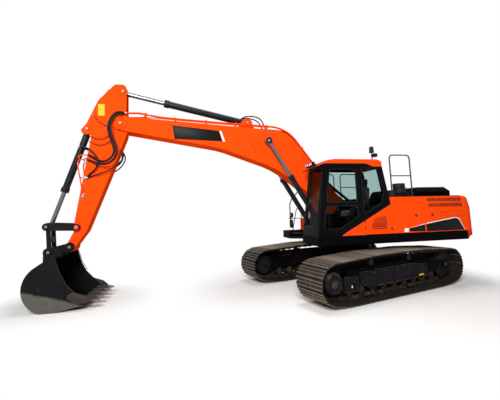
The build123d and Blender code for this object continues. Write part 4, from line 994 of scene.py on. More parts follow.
for body, sign in (("boom_rod_left", 1), ("boom_rod_right", -1)):
    (x, z), y, r = boom_rod_pin
    face = round_bar((x, sign * (y - 0.012), z), (x, sign * (y + 0.0015), z), 0.087, 32, 0.003)
    fit(f"eye_face_{body}", [face], "cylinder_paint", body)

# %% [markdown]
# The lock plate sits beside the pin on the boss that carries it.


# %% Lock plates
def lock_plate():
    bar = block((0, 0.006, 0), (0.115, 0.012, 0.03), 0.003)
    bolts = [hex_nut((x, 0.01, 0), (x, 0.024, 0), 0.012) for x in (-0.04, 0.04)]
    return joined("lock", [bar, *bolts])


lock_rows = {
    "boom": (((5.715, 4.053), (0.0, -0.085), 0.253, 0), ((2.621, 4.209), (-0.07, -0.04), 0.124, 60)),
    "arm": (((5.693, 4.869), (0.02, -0.08), 0.16, 10), ((6.460, 3.916), (-0.085, 0.01), 0.16, 80)),
    "upper": (((0.135, 1.894), (0.09, 0.02), 0.283, 80),),
    "bucket": (((6.704, 1.228), (0.08, 0.0), 0.205, 80), ((7.120, 1.130), (-0.08, 0.01), 0.205, 80)),
}
for body, rows in lock_rows.items():
    paint_name = {"upper": "black_paint", "bucket": "link_steel"}.get(body, "orange_paint")
    places = [
        Matrix.Translation((x + dx, sign * y, z + dz)) @ flipped(sign) @ Matrix.Rotation(radians(turn), 4, "Y")
        for (x, z), (dx, dz), y, turn in rows for sign in (1, -1)
    ]
    fit(f"pin_locks_{body}", copies(lock_plate(), places), paint_name, body)

# %% [markdown]
# ## Bare plates on boom, arm and doors
# Thin plates are fixed to boom, arm and doors, and are bare: black with a slanted white end on
# the boom, yellow on the arm, and a black wedge with a white edge across the two doors at the
# back. They could be painted on with a mask, but a real plate casts a fine edge of shadow, so
# each is an outline pulled out by a few millimetres. A table holds them all.


# %% Plates
def plate_on(name, outline, y, thick, finish, body, slot, signs=(1, -1)):
    """A flat plate on one side or on both."""
    pieces = [prism(outline, *sorted((sign * y, sign * (y + thick))), edge=0.001) for sign in signs]
    return fit(name, pieces, finish, body, slot)


boom_side, arm_side, door_side = 0.2352, 0.1602, 1.3551
black = ("black_film", "black_plastic")
white = ("white_film", "lamp_plastic")
yellow = ("yellow_film", "lamp_plastic")
plates = {
    "boom_plate": (
        ((4.53, 4.044), (3.385, 3.93), (3.30, 3.665), (4.469, 3.697)), boom_side, 0.003, black, "boom",
    ),
    "boom_plate_end": (
        ((3.375, 3.929), (3.325, 3.923), (3.232, 3.659), (3.29, 3.6645)), boom_side, 0.003, white, "boom",
    ),
    "arm_plate": (
        ((6.08, 4.24), (6.225, 4.24), (6.236, 4.52), (6.09, 4.52)), arm_side, 0.0025, yellow, "arm",
    ),
    "arm_plate_seam": (
        ((6.084, 4.377), (6.231, 4.377), (6.231, 4.383), (6.084, 4.383)), 0.1627, 0.0008, black, "arm",
    ),
}
for name, (outline, y, thick, (finish, slot), body) in plates.items():
    plate_on(name, outline, y, thick, finish, body, slot)

wedges = {
    "wedge_middle": (
        ((-0.93, 1.345), (-0.915, 1.415), (-1.363, 1.50), (-1.363, 1.330)), 0.002, black, "side_door_middle",
    ),
    "wedge_rear": (
        ((-1.393, 1.330), (-1.393, 1.505), (-2.235, 1.625), (-2.30, 1.607), (-2.345, 1.56), (-2.47, 1.33)),
        0.002, black, "side_door_rear",
    ),
    "wedge_trim_middle": (
        ((-0.79, 1.335), (-0.80, 1.42), (-0.93, 1.418), (-1.363, 1.518), (-1.363, 1.498), (-0.915, 1.405),
         (-0.90, 1.335)), 0.0016, white, "side_door_middle",
    ),
    "wedge_trim_rear": (
        ((-1.393, 1.503), (-1.393, 1.523), (-2.235, 1.645), (-2.325, 1.62), (-2.365, 1.565), (-2.48, 1.33),
         (-2.468, 1.33), (-2.342, 1.56), (-2.30, 1.607), (-2.235, 1.623)), 0.0016, white, "side_door_rear",
    ),
}
for name, (outline, thick, (finish, slot), body) in wedges.items():
    plate_on(name, outline, door_side, thick, finish, body, slot, (1,))

# %% [markdown]
# ## Windows
# Each pane sits in a rubber seal. It could be swept along the pane's edge as a profile, but a
# round cord looks the same at this size, so the helper for pipes draws it, on a closed line.


# %% Window seals
def seal(points):
    """A rubber cord along a window's edge."""
    return pipe(points, 0.009, 0.045, 2, closed=True)


def front_at(z):
    """Front face of the cab at a height."""
    return 1.37 - (z - 1.31) * 0.15244


def window_at(outline, y):
    return [(x, y, z) for x, z in outline]


upper_window = ((1.1207, 2.06), (1.0113, 2.81), (0.365, 2.81), (0.365, 2.06))
lower_window = ((1.2056, 1.47), (1.1279, 1.98), (0.365, 1.98), (0.365, 1.72), (0.82, 1.47))
quarter_window = ((0.215, 2.85), (-0.225, 2.85), (-0.33, 2.25), (-0.25, 2.01), (0.215, 1.765))
right_window = ((1.2206, 1.70), (1.0437, 2.86), (-0.24, 2.86), (-0.37, 2.08), (-0.33, 1.70))
screen = [(front_at(z) + 0.004, y, z) for y, z in ((0.53, 1.505), (1.25, 1.505), (1.25, 2.855), (0.53, 2.855))]
back_pane = ((-0.476, 0.53, 2.10), (-0.476, 1.25, 2.10), (-0.342, 1.25, 2.85), (-0.342, 0.53, 2.85))
fit("door_seals", [seal(window_at(line, 1.349)) for line in (upper_window, lower_window)], "rubber",
    "cab_door", "black_plastic")
fit("cab_seals", [
    seal(window_at(quarter_window, 1.343)), seal(window_at(right_window, 0.457)), seal(screen), seal(back_pane),
], "rubber", "upper", "black_plastic")

# %% [markdown]
# ## Front of the cab
# Over the windscreen is a clear rain visor on three brackets. A wiper lies folded along the
# screen's edge: an arm from its motor, and a blade of rubber. Flat parts are outlines pulled
# out, and round ones are bent lines with a thickness.


# %% Visor, wiper and grab bar
def at_screen(z, y, out):
    """A place before the windscreen, at a distance out from the cab's front face."""
    return (front_at(z) + out, y, z)


visor = ((1.145, 2.925), (1.30, 2.862), (1.322, 2.835), (1.326, 2.838), (1.303, 2.867), (1.147, 2.930))
fit("rain_visor", [prism(visor, 0.47, 1.32, edge=0.0008)], "glass", "upper")
bracket = ((1.12, 2.935), (1.15, 2.935), (1.31, 2.870), (1.31, 2.858), (1.15, 2.905), (1.13, 2.88))
motor = round_bar(at_screen(1.6, 0.60, -0.01), at_screen(1.6, 0.60, 0.045), 0.03, edge=0.004)
grab = pipe(((1.30, 1.31, 1.62), (1.375, 1.33, 1.62), (1.30, 1.33, 2.15), (1.215, 1.31, 2.15)), 0.011, 0.03)
fit("wiper", [
    pipe((at_screen(1.62, 0.60, 0.03), at_screen(2.2, 0.70, 0.028), at_screen(2.72, 0.66, 0.02)), 0.007, 0.05),
    pipe((at_screen(1.95, 0.67, 0.018), at_screen(2.78, 0.655, 0.018)), 0.009),
    motor,
    grab,
    *(prism(bracket, y - 0.004, y + 0.004, edge=0.001) for y in (0.5, 0.9, 1.28)),
], "black_plastic", "upper")

# %% [markdown]
# ## Lamps
# The bar on the roof carries four lamps, and a fifth stands on the right. Each of the four has a bezel, whose
# front face is inset and pushed back. All have a ribbed lens with a faint painted glow, which stands for
# daylight reflected from the bowl behind it.


# %% Lamp lenses
lamp_z = 3.005


def lamp_face(y):
    return round_bar((1.232, y, lamp_z), (1.240, y, lamp_z), 0.033, sides=24, edge=0.003)


def bezel(y):
    ring = round_bar((1.212, y, lamp_z), (1.238, y, lamp_z), 0.044, sides=24)
    pick(ring)
    bpy.ops.object.mode_set(mode="EDIT")
    bpy.ops.mesh.select_all(action="DESELECT")
    bpy.ops.object.mode_set(mode="OBJECT")
    for face in ring.data.polygons:
        face.select = face.normal.x > 0.9
    bpy.ops.object.mode_set(mode="EDIT")
    bpy.ops.mesh.inset(thickness=0.008)
    bpy.ops.transform.translate(value=(-0.006, 0, 0))
    bpy.ops.object.mode_set(mode="OBJECT")
    return ring


lamp_spots = (0.529, 0.636, 0.744, 0.851)
fit("bar_lenses", [lamp_face(y) for y in lamp_spots], "lamp_lens", "upper", "lamp_plastic")
fit("bar_bezels", [bezel(y) for y in lamp_spots], "lamp_plastic", "upper")
front_lens = round_bar((1.179, -1.05, 1.76), (1.19, -1.05, 1.76), 0.066, sides=28, edge=0.004)
fit("front_lens", [front_lens], "lamp_lens", "upper", "lamp_plastic")

# %% [markdown]
# ## The seat
# The seat in the cab is upholstered: a cushion, a back with a deep sewn channel, a headrest and
# two armrests. A pad starts as a block, is cut into rows, and its middle rows are pulled up
# into a crown. Subdivision then rounds it, so that its sides draw in between its corners.


# %% Seat pads
def pad(centre, size, crown, channel=0.0, cuts=5):
    """A crowned pad: size is half of each side, and channel presses a seam across the middle."""
    deselect()
    bpy.ops.mesh.primitive_cube_add(size=2, location=(0, 0, 0))
    piece = bpy.context.active_object
    bpy.ops.object.mode_set(mode="EDIT")
    bpy.ops.mesh.select_all(action="SELECT")
    bpy.ops.mesh.subdivide(number_cuts=cuts)
    bpy.ops.object.mode_set(mode="OBJECT")
    for corner in piece.data.vertices:
        x, y, z = corner.co
        swell = (1 - x * x) * (1 - y * y)
        pinch = 1 - 0.07 * (x * x * y * y)
        seam = channel * max(0.0, 1 - abs(abs(y) - 0.5) * 6) if z > 0 else 0.0
        corner.co = (x * size[0] * pinch, y * size[1] * pinch, z * size[2] * (0.72 + crown * swell) - seam)
    pick(piece)
    soft = piece.modifiers.new("soft", "SUBSURF")
    soft.levels = soft.render_levels = 2
    bpy.ops.object.modifier_apply(modifier="soft")
    bpy.ops.object.shade_smooth()
    piece.data.transform(Matrix.Translation(centre))
    return piece


def upright(piece, x, z):
    """Stand a pad up at the seat's back, leaning back by 8 degrees."""
    piece.data.transform(Matrix.Rotation(radians(-90), 4, "Y"))
    piece.data.transform(Matrix.Translation((x, seat_y, z)) @ Matrix.Rotation(radians(-8), 4, "Y"))
    return piece


seat_y = 0.9
cushion = pad((0.20, seat_y, 1.80), (0.27, 0.24, 0.075), 0.34, 0.012)
cushion = fit("seat_cushion", [cushion], "seat_fabric", "upper")
back = upright(pad((0, 0, 0), (0.31, 0.22, 0.07), 0.32, 0.012), -0.045, 2.12)
back = fit("seat_back", [back], "seat_fabric", "upper")
head = upright(pad((0, 0, 0), (0.11, 0.14, 0.05), 0.35), -0.095, 2.51)
head = fit("seat_head", [head], "seat_fabric", "upper")


# %% [markdown]
# The pads rest on a moulded shell over rubber bellows, and the armrests stand on short posts.
# These are hard parts, so they are plain blocks and outlines with soft edges. They stand for the
# packed seat.


# %% Seat frame
def arm_rest(sign):
    y = seat_y + sign * 0.285
    rest = block((0.18, y, 2.0), (0.34, 0.07, 0.05), 0.02)
    post = prism(((-0.02, 1.80), (0.05, 1.80), (0.06, 1.99), (0.0, 1.99)), y - 0.02, y + 0.02, edge=0.006)
    return [rest, post]


shell_line = ((-0.12, 1.72), (0.44, 1.72), (0.46, 1.76), (-0.10, 1.765))
shell = prism(shell_line, seat_y - 0.23, seat_y + 0.23, edge=0.01)
bellows = [
    block((0.14, seat_y, z), (0.40 - 0.03 * (i % 2), 0.36 - 0.03 * (i % 2), 0.045), 0.012)
    for i, z in enumerate((1.40, 1.445, 1.49, 1.535, 1.58, 1.625, 1.67))
]
seat_frame = fit("seat_frame", [shell, *bellows, *sides(arm_rest)], "black_plastic", "upper")
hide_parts("seat")

# %% [markdown]
# ## Doors of the house
# The side doors close with round latches set flush in the panel. The front door has a black catch and turns on
# two small hinges. Fine slits below the vents let more air out. They are too small to be cut out with profit.
# So one slit is modelled as a darker orange bar that stands a little proud, as painted shade in its hollow, and
# is copied in rows.


# %% Latches, hinges and slits
def latch(x, z, r=0.036):
    """A round latch with its lever."""
    ring = round_bar((x, 1.354, z), (x, 1.359, z), r, sides=28, edge=0.0015)
    return [ring, block((x + 0.004, 1.361, z), (r * 1.15, 0.006, r * 0.62), 0.002)]


for body, x, z, r in (
    ("side_door_middle", -1.142, 1.709, 0.036), ("side_door_rear", -1.589, 1.716, 0.036),
    ("side_door_front", -0.332, 1.57, 0.018),
):
    fit(f"latch_{body}", latch(x, z, r), "rail_paint", body)
fit("latch_side_door_right", [
    block((-1.60, -1.357, 1.70), (0.07, 0.006, 0.05), 0.002),
    block((-1.59, -1.361, 1.70), (0.04, 0.006, 0.02), 0.002),
], "rail_paint", "side_door_right")
fit("catch_side_door_front", [block((-0.462, 1.359, 1.424), (0.03, 0.012, 0.055), 0.003)], "black_plastic",
    "side_door_front")
fit("front_door_hinges", [
    round_bar((0.204, 1.357, z - 0.03), (0.204, 1.357, z + 0.03), 0.009, sides=14, edge=0.001)
    for z in (1.627, 1.46)
], "black_paint", "upper")

# Painted shade: the slit is a darker orange, standing for the shade in a slot's hollow.
slit = prism(((-0.007, -0.03), (0.007, -0.03), (0.011, 0.03), (-0.003, 0.03)), -0.001, 0.0018, edge=0.0006)
slit_places = [
    Matrix.Translation((x - 0.036 * i, 1.3555, z))
    for x in (-1.81, -2.18) for z in (1.765, 1.665) for i in range(9)
]
fit("door_slit_shades", copies(slit, slit_places), "slit_paint", "side_door_rear", "orange_paint")

# %% [markdown]
# ## Rails
# Round handrails stand on small feet that are bolted down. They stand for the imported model's
# rails, and have a bent tube's smooth corners, which come from lines given a thickness.

# %% Handrails
rail_r = 0.0165


def rail_gate(y, front, rear, high):
    frame_line = ((front, y, 2.178), (front, y, high), (rear, y, high), (rear, y, 2.178))
    middle = (2.175 + high) / 2
    return [pipe(frame_line, rail_r, 0.09), round_bar((front, y, middle), (rear, y, middle), 0.014, sides=14)]


def rail_foot(x, y, z):
    foot = block((x, y, z + 0.006), (0.09, 0.07, 0.010), 0.003)
    bolts = [hex_nut((x + dx, y, z + 0.01), (x + dx, y, z + 0.024), 0.009) for dx in (-0.032, 0.032)]
    return [foot, *bolts]


stair_rail = ((1.1, 1.653), (1.1, 2.15), (0.38, 2.9995), (-0.4, 2.9995), (-0.4, 2.148))
rails = [
    *rail_gate(0.93, -0.86, -1.44, 3.2395),
    *rail_gate(-1.2, -0.62, -1.25, 2.9995),
    pipe([(x, -1.2, z) for x, z in stair_rail], rail_r, 0.11),
    round_bar((0.38, -1.2, 2.148), (0.38, -1.2, 2.985), 0.014, sides=14),
]
for x, y, z in (
    (-0.86, 0.93, 2.175), (-1.44, 0.93, 2.175), (-0.62, -1.2, 2.175), (-1.25, -1.2, 2.175), (1.1, -1.2, 1.65),
    (-0.4, -1.2, 2.145), (0.38, -1.2, 2.145),
):
    rails += rail_foot(x, y, z)
rails = fit("rails", rails, "rail_paint", "upper")
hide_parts("handrails")

# %% [markdown]
# ## On top of the house
# The roof is walked on for service, so it has anti-slip plates with pressed studs.
# They could be a bump in the paint, but studs catch the light at their edges. One stud is
# modelled with few faces and copied in rows.

# %% Tread plates
studs, treads = [], []
for (x0, x1), (y0, y1) in (((-1.02, -0.56), (-0.62, 0.82)), ((-1.45, -1.06), (-0.62, 0.20))):
    treads.append(block(((x0 + x1) / 2, (y0 + y1) / 2, 2.178), (x1 - x0, y1 - y0, 0.006), 0.002))
    studs += [
        Matrix.Translation((x0 + 0.05 + 0.075 * i, y0 + 0.05 + 0.075 * j, 2.181))
        for i in range(int((x1 - x0 - 0.05) / 0.075)) for j in range(int((y1 - y0 - 0.05) / 0.075))
    ]
for front, rear in ((0.36, 0.0), (-0.08, -0.44)):
    treads.append(block(((front + rear) / 2, -0.85, 2.148), (front - rear, 0.22, 0.006), 0.002))
    studs += [
        Matrix.Translation((rear + 0.04 + 0.07 * i, -0.93 + 0.075 * j, 2.151))
        for i in range(5) for j in range(3)
    ]
stud = round_bar((0, 0, 0), (0, 0, 0.008), 0.014, sides=8, end_radius=0.009)
fit("tread_plates", treads + copies(stud, studs), "black_paint", "upper")

# %% [markdown]
# The hood has two handles and six bolts, and a camera looks back over the counterweight. The
# handles are bent from round bar, so each is a line with a thickness.


# %% Hood handles, bolts and camera
def hood_handle(y):
    line = ((y - 0.09, 2.405), (y - 0.09, 2.435), (y + 0.09, 2.435), (y + 0.09, 2.405))
    return pipe([(-1.60, across, z) for across, z in line], 0.008, 0.012)


hood_bolts = [hex_nut((x, y, 2.408), (x, y, 2.419), 0.012) for x in (-1.53, -2.0, -2.42) for y in (-0.84, 0.84)]
fit("hood_fittings", [*map(hood_handle, (-0.45, 0.45)), *hood_bolts], "rail_paint", "engine_hood")
camera_body = block((-2.86, 0, 2.165), (0.06, 0.07, 0.05), 0.008)
camera_eye = round_bar((-2.885, 0, 2.162), (-2.896, 0, 2.160), 0.016, sides=18, edge=0.002)
fit("rear_camera", [camera_body, camera_eye], "black_plastic", "upper")

# %% [markdown]
# ## Track frames
# Each track frame carries boxes and covers on its outer side, and a plate between its rollers.
# They are thin, flat parts, so each is an outline pulled out to a plate with soft edges. They
# are drawn for the left track in its own directions, and both copies are turned with it.

# %% Track frame covers
frame_face = 1.451


def on_tracks(name, pieces, finish, slot):
    """Left and right copies of pieces drawn for the left track."""
    turn = Matrix.Rotation(track_turn, 4, "Z")
    made = copies(joined(name, pieces), [turn, turn @ Matrix.Scale(-1, 4, (0, 1, 0))])
    return fit(name, made, finish, "undercarriage", slot)


main_box = ((0.574, 0.26), (0.564, 0.576), (-0.629, 0.592), (-1.165, 0.52), (-1.206, 0.383), (-1.253, 0.275))
front_box = ((1.54, 0.25), (1.54, 0.50), (1.50, 0.53), (1.11, 0.53), (1.11, 0.23), (1.50, 0.23))
yoke_cover = ((-1.235, 0.545), (-1.671, 0.548), (-2.13, 0.50), (-2.10, 0.225), (-1.698, 0.14))
step_bracket = (
    (1.106, 0.543), (1.079, 0.588), (0.599, 0.585), (0.625, 0.355), (0.642, 0.193), (1.059, 0.313),
)
roller_plate = ((-1.84, 0.16), (1.84, 0.17), (2.05, 0.40), (1.84, 0.785), (-1.84, 0.775), (-2.05, 0.40))
on_tracks("frame_covers", [
    prism(main_box, frame_face, 1.478, edge=0.006),
    prism(front_box, frame_face, 1.474, edge=0.006),
    prism(yoke_cover, 1.449, 1.464, edge=0.005),
    prism(step_bracket, frame_face, 1.502, edge=0.006),
    prism(roller_plate, 1.225, 1.245, edge=0.004),
], "drive_paint", "drive_paint")

# %% [markdown]
# Guards keep stones away from the rollers, angle strips stiffen the edges of the boxes, and bolts hold it all.
# Dozens of bolts are needed, so each is a hexagonal bar with few faces, set out from a list of places. Dark
# discs stand for the holes in the covers: painted shade for their dark insides.


# %% Guards, flange edges and bolts
def bolts_at(places, y, radius=0.016, out=0.014):
    """Bolt heads on a face at y, each at its X and Z."""
    return [round_bar((x, y - 0.003, z), (x, y + out, z), radius, sides=6, edge=0.002) for x, z in places]


guard_face = 1.452
strip_under_main_box = ((0.58, 0.252), (0.58, 0.272), (-1.245, 0.288), (-1.255, 0.268))
strip_under_front_box = ((1.53, 0.222), (1.53, 0.24), (1.10, 0.24), (1.10, 0.222))
strip_on_top = ((0.62, 0.588), (0.62, 0.60), (-0.62, 0.606), (-1.15, 0.54), (-1.15, 0.528), (-0.62, 0.594))
on_tracks("roller_guards", [
    prism(((1.017, 0.174), (0.708, 0.163), (0.718, 0.085), (0.98, 0.09)), guard_face, 1.47, edge=0.004),
    prism(((-0.397, 0.169), (-0.715, 0.164), (-0.703, 0.09), (-0.443, 0.093)), guard_face, 1.47, edge=0.004),
    prism(strip_under_main_box, guard_face, 1.492, edge=0.003),
    prism(strip_under_front_box, guard_face, 1.488, edge=0.003),
    prism(strip_on_top, 1.44, 1.482),
    *(round_bar((-1.37 + 0.3425 * i, 1.44, 0.2225), (-1.37 + 0.3425 * i, 1.466, 0.2225), 0.03, 16, 0.004)
      for i in range(9)),
], "wheel_iron", "wheel_iron")
drive_x, drive_z, drive_ring_r = 1.92, 0.473, 0.165
drive_ring = [
    (drive_x + drive_ring_r * cos(radians(30 * i)), drive_z + drive_ring_r * sin(radians(30 * i)))
    for i in range(12)
]
on_tracks("track_bolts", [
    *bolts_at([(0.50 - 0.2 * i, 0.545) for i in range(6)], 1.478),
    *bolts_at([(1.03, 0.54), (0.70, 0.545), (0.70, 0.29), (0.98, 0.33)], 1.502),
    *bolts_at([(1.45, 0.47), (1.2, 0.47), (1.45, 0.29), (1.2, 0.29)], 1.474),
    *bolts_at([
        (-1.35, 0.50), (-1.6, 0.50), (-1.6, 0.22), (-1.35, 0.26), (-2.03, 0.45), (-2.03, 0.29),
    ], 1.464),
    *bolts_at(drive_ring, 1.624, 0.013, 0.01),
    round_bar((drive_x, 1.62, drive_z), (drive_x, 1.632, drive_z), 0.085, 28, 0.004),
], "wheel_iron", "wheel_iron")
# Painted shade: black discs stand for the shade inside two holes in the covers.
on_tracks("frame_hole_shades", [
    round_bar((-0.932, 1.477, 0.41), (-0.932, 1.4795, 0.41), 0.05, 24, 0.001),
    round_bar((-1.882, 1.463, 0.399), (-1.882, 1.4655, 0.399), 0.042, 24, 0.001),
], "black_film", "black_plastic")
yellow_mark = ((-0.84, 0.295), (-0.84, 0.328), (-1.02, 0.328), (-1.02, 0.295))
white_mark = block((1.33, 1.475, 0.323), (0.03, 0.002, 0.047), 0.0005)
on_tracks("frame_mark_yellow", [prism(yellow_mark, 1.478, 1.4795, edge=0.0005)], "yellow_film", "lamp_plastic")
on_tracks("frame_mark_white", [white_mark], "white_film", "lamp_plastic")

# %% [markdown]
# ## Bucket
# The teeth are cast points, pinned to adapters so that a worn one can be changed. Side cutters
# are bolted to the cheeks, a lifting eye stands at the back, and weld seams run along the ears.
# A tooth could be a plain wedge, but its drop shape shows from the side, so its outline is drawn
# and pulled across, and the five are made by one function.

# %% Teeth, side cutters and eye
adapter = ((6.32, 0.09), (6.325, 0.20), (6.21, 0.212), (6.085, 0.196), (6.085, 0.122), (6.20, 0.096))
point = ((6.12, 0.112), (6.115, 0.208), (6.02, 0.188), (5.93, 0.164), (5.93, 0.149), (6.02, 0.13))


def tooth(y):
    """A point on its adapter, with the pin that holds it."""
    return [
        prism(adapter, y - 0.046, y + 0.046, edge=0.008),
        prism(point, y - 0.038, y + 0.038, edge=0.006),
        round_bar((6.10, y - 0.05, 0.16), (6.10, y + 0.05, 0.16), 0.013, 12, 0.002),
    ]


teeth = fit("teeth", [piece for i in range(5) for piece in tooth(-0.63 + 0.315 * i)], "tooth_steel", "bucket")
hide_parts("bucket_teeth")
cutter = (
    (6.534, 0.326), (6.434, 0.386), (6.197, 0.30), (6.082, 0.195), (6.192, 0.15), (6.373, 0.158),
    (6.531, 0.259),
)
fit("side_cutters", sides(lambda sign: [
    prism(cutter, *sorted((sign * 0.714, sign * 0.732)), edge=0.005),
    *(round_bar((x, sign * 0.725, z), (x, sign * 0.745, z), 0.018, 6, 0.003)
      for x, z in ((6.46, 0.30), (6.34, 0.25), (6.44, 0.225))),
]), "tooth_steel", "bucket")
eye_r = 0.032
eye = [(6.716 + eye_r * cos(radians(30 * i)), 0.69, 1.10 + eye_r * sin(radians(30 * i))) for i in range(-1, 8)]
fit("bucket_eye", [pipe(eye, 0.011, 0.004)], "bucket_steel", "bucket")


def bent_seam(line, y, radius, bend):
    """A weld bead along a line at y."""
    return pipe([(x, y, z) for x, z in line], radius, bend, 2)


fit("bucket_welds", sides(lambda sign: [
    bent_seam(((6.70, 1.118), (6.95, 1.07), (7.15, 0.915)), sign * 0.172, 0.007, 0.02),
    bent_seam(((6.80, 1.10), (6.69, 0.78), (6.57, 0.58)), sign * 0.703, 0.006, 0.03),
]), "bucket_steel", "bucket")

# %% [markdown]
# ## Grille and vents
# The house breathes through punched holes in its front door and through two rows of slanted slits in the rear
# ones. They could be cut through, but every cut costs many faces. Dark shapes that stand a hair's breadth proud
# paint the shade inside them instead, so one is modelled and copied. The slits lie on a thin panel that leans
# in with the door.

# %% Grille and vents
# Painted shade: black dots for the dark inside of the grille's holes.
fit("grille_hole_shades_side_door_front", copies(
    round_bar((0, 1.3535, 0), (0, 1.3562, 0), 0.0155, 8),
    [Matrix.Translation((-0.325 + 0.048 * i + 0.024 * (j % 2), 0, 1.44 + 0.041 * j))
     for j in range(7) for i in range(8 - j // 3)],
), "black_film", "side_door_front", "black_plastic")


def door_face(z, out=0.0):
    """Y of the door's leaning upper part at a height, and at a distance out from it."""
    return 1.355 + out - (z - 1.87) * 0.165


def vent_panel(sign):
    """A thin panel over the door's upper part that leans in with it."""
    low, high = 1.882, 2.14
    corners = (
        (door_face(low) - 0.002, low), (door_face(low) + 0.002, low),
        (door_face(high) + 0.002, high), (door_face(high) - 0.002, high),
    )
    return prism([(sign * y, z) for y, z in corners], -2.475, -1.49, axis="X", edge=0.0008)


def vent_slit_shades(sign):
    """Two rows of dark slanted slits on that panel, as painted shade in their openings."""
    outline = ((-0.022, -0.043), (0.014, -0.043), (0.020, 0.043), (-0.016, 0.043))
    lean = Matrix.Rotation(radians(9.4), 4, "X")
    places = [
        flipped(sign) @ Matrix.Translation((-1.53 - 0.065 * i, door_face(z, 0.003), z)) @ lean
        for z in (2.075, 1.945) for i in range(15)
    ]
    return copies(prism(outline, -0.001, 0.002, edge=0.0005), places)


# Painted shade: the black slits stand for the shade in the vent openings.
for sign, body in ((1, "side_door_rear"), (-1, "side_door_right")):
    fit(f"vent_panel_{body}", [vent_panel(sign)], "orange_paint", body)
    fit(f"vent_slit_shades_{body}", vent_slit_shades(sign), "black_film", body, "black_plastic")

# %% [markdown]
# ## Cab lining
# Inside, the cab is lined in black up to the sill of its windows, and so is its rear wall. The lining is partly
# real trim and partly painted shade: its black plates darken the cab's inside, and the right one covers the
# lowest strip of the right window. A darker glass would hide the bright inner walls too, but it would hide the
# seat as well, so three thin plates line the walls and the floor.

# %% Cab lining
right_lining = ((1.22, 1.345), (1.15, 1.80), (-0.33, 1.80), (-0.365, 1.345))
rear_lining = ((-0.372, 1.33), (-0.364, 1.33), (-0.306, 1.98), (-0.314, 1.98))
# Painted shade: black plates that darken the cab's inside, partly as real trim.
fit("cab_lining_and_shade", [
    prism(right_lining, 0.502, 0.510, edge=0.002),
    prism(rear_lining, 0.515, 1.285, edge=0.002),
    block((0.42, 0.90, 1.336), (1.50, 0.76, 0.012), 0.004),
], "black_film", "upper", "black_plastic")

# %% [markdown]
# ## Right front
# A short locker stands before the fuel tank, with a step and a rail that carries the mirror.
# The locker is a block with wide soft edges, like folded sheet, and stands for the packed
# toolbox. The rail is bent tube, so it is a line with rounded corners and a thickness.

# %% Locker, step and mirror
rail_y = -1.25
mirror_stay = ((0.72, 1.25), (0.72, 1.966), (0.87, 1.969), (1.03, 1.25), (0.72, 1.20))
mirror_arm = ((0.74, 1.66), (0.93, 1.66), (1.10, 1.64), (1.10, 1.42))
locker = fit("locker", [
    block((0.60, -1.10, 1.49), (0.28, 0.48, 0.34), 0.03),
    block((0.60, -1.10, 1.33), (0.34, 0.50, 0.02), 0.006),
], "orange_iron", "upper")
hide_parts("toolbox")
fit("mirror_rail", [
    pipe([(x, rail_y, z) for x, z in mirror_stay], 0.013, 0.07),
    pipe([(x, rail_y, z) for x, z in mirror_arm], 0.010, 0.04),
    block((0.88, -1.20, 1.215), (0.42, 0.34, 0.02), 0.005),
    block((1.055, rail_y, 1.50), (0.055, 0.20, 0.25), 0.022),
], "black_plastic", "upper")
mirror = block((1.026, rail_y, 1.50), (0.004, 0.17, 0.21), 0.0015)
fit("mirror_glass", [mirror], "zinc", "upper", "rod_chrome")

# %% [markdown]
# ## Counterweight
# The weight is one heavy casting, fuller at its corners than a plain arc, and round along its
# top and bottom edges. A superellipse gives its outline: the higher its power, the fuller the
# corners. The outline is extruded once to the waist and once more to the top, which draws in,
# and then its level edges are selected in code and bevelled.


# %% Counterweight casting
def bulge(angle, half, depth, power=2.9):
    """A point on a full round end: depth behind the front face, half as wide as the weight."""
    across, back = sin(radians(angle)), cos(radians(angle))
    return (-2.557 - depth * abs(back) ** (2 / power),
            half * abs(across) ** (2 / power) * (1 if across > 0 else -1))


front_x, half, waist = -2.552, 1.352, 1.87
ring = [(front_x, half), *(bulge(angle, half, 0.39) for angle in range(84, -85, -6)), (front_x, -half)]
weight = prism(ring, 1.108, waist, axis="Z", edge=0)
pick(weight)
for face in weight.data.polygons:
    face.select = face.center.z > waist - 0.01
bpy.ops.object.mode_set(mode="EDIT")
bpy.ops.mesh.select_mode(type="FACE")
bpy.ops.mesh.extrude_region_move(TRANSFORM_OT_translate={"value": (0, 0, 0.293)})
bpy.ops.object.mode_set(mode="OBJECT")
for corner in weight.data.vertices:
    if corner.co.z > 2.0:
        corner.co.y *= 1.305 / 1.355
        corner.co.x = front_x + (corner.co.x - front_x) * 0.86
for edge in weight.data.edges:
    ends = [weight.data.vertices[i].co for i in edge.vertices]
    level = abs(ends[0].z - ends[1].z) < 0.001
    edge.select = level and max(end.x for end in ends) < -2.56 and not 1.5 < ends[0].z < 2.0
bpy.ops.object.mode_set(mode="EDIT")
bpy.ops.mesh.select_mode(type="EDGE")
bpy.ops.mesh.bevel(offset=0.085, segments=6, affect="EDGES")
bpy.ops.object.mode_set(mode="OBJECT")
lug = ((-2.70, 2.14), (-2.70, 2.215), (-2.80, 2.215), (-2.80, 2.13))
lugs = [pipe([(x, y, z) for x, z in lug], 0.018, 0.035) for y in (0.56, -0.56)]
casting = fit("counterweight_casting", [weight, *lugs], "orange_iron", "upper")
soften(casting, 0)
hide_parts("counterweight")

# %% [markdown]
# ## Seams
# The plates of the boom and the arm meet in weld beads that stand a few millimetres proud. A bump in the paint
# would show no edge against the light, so each bead is a thin bent tube, half sunk in the plate. It is painted
# a darker orange than the plate, as painted shade along the seam.


# %% Weld beads
def beads(y, lines):
    return sides(lambda sign: [bent_seam(line, sign * y, 0.006, 0.01) for line in lines])


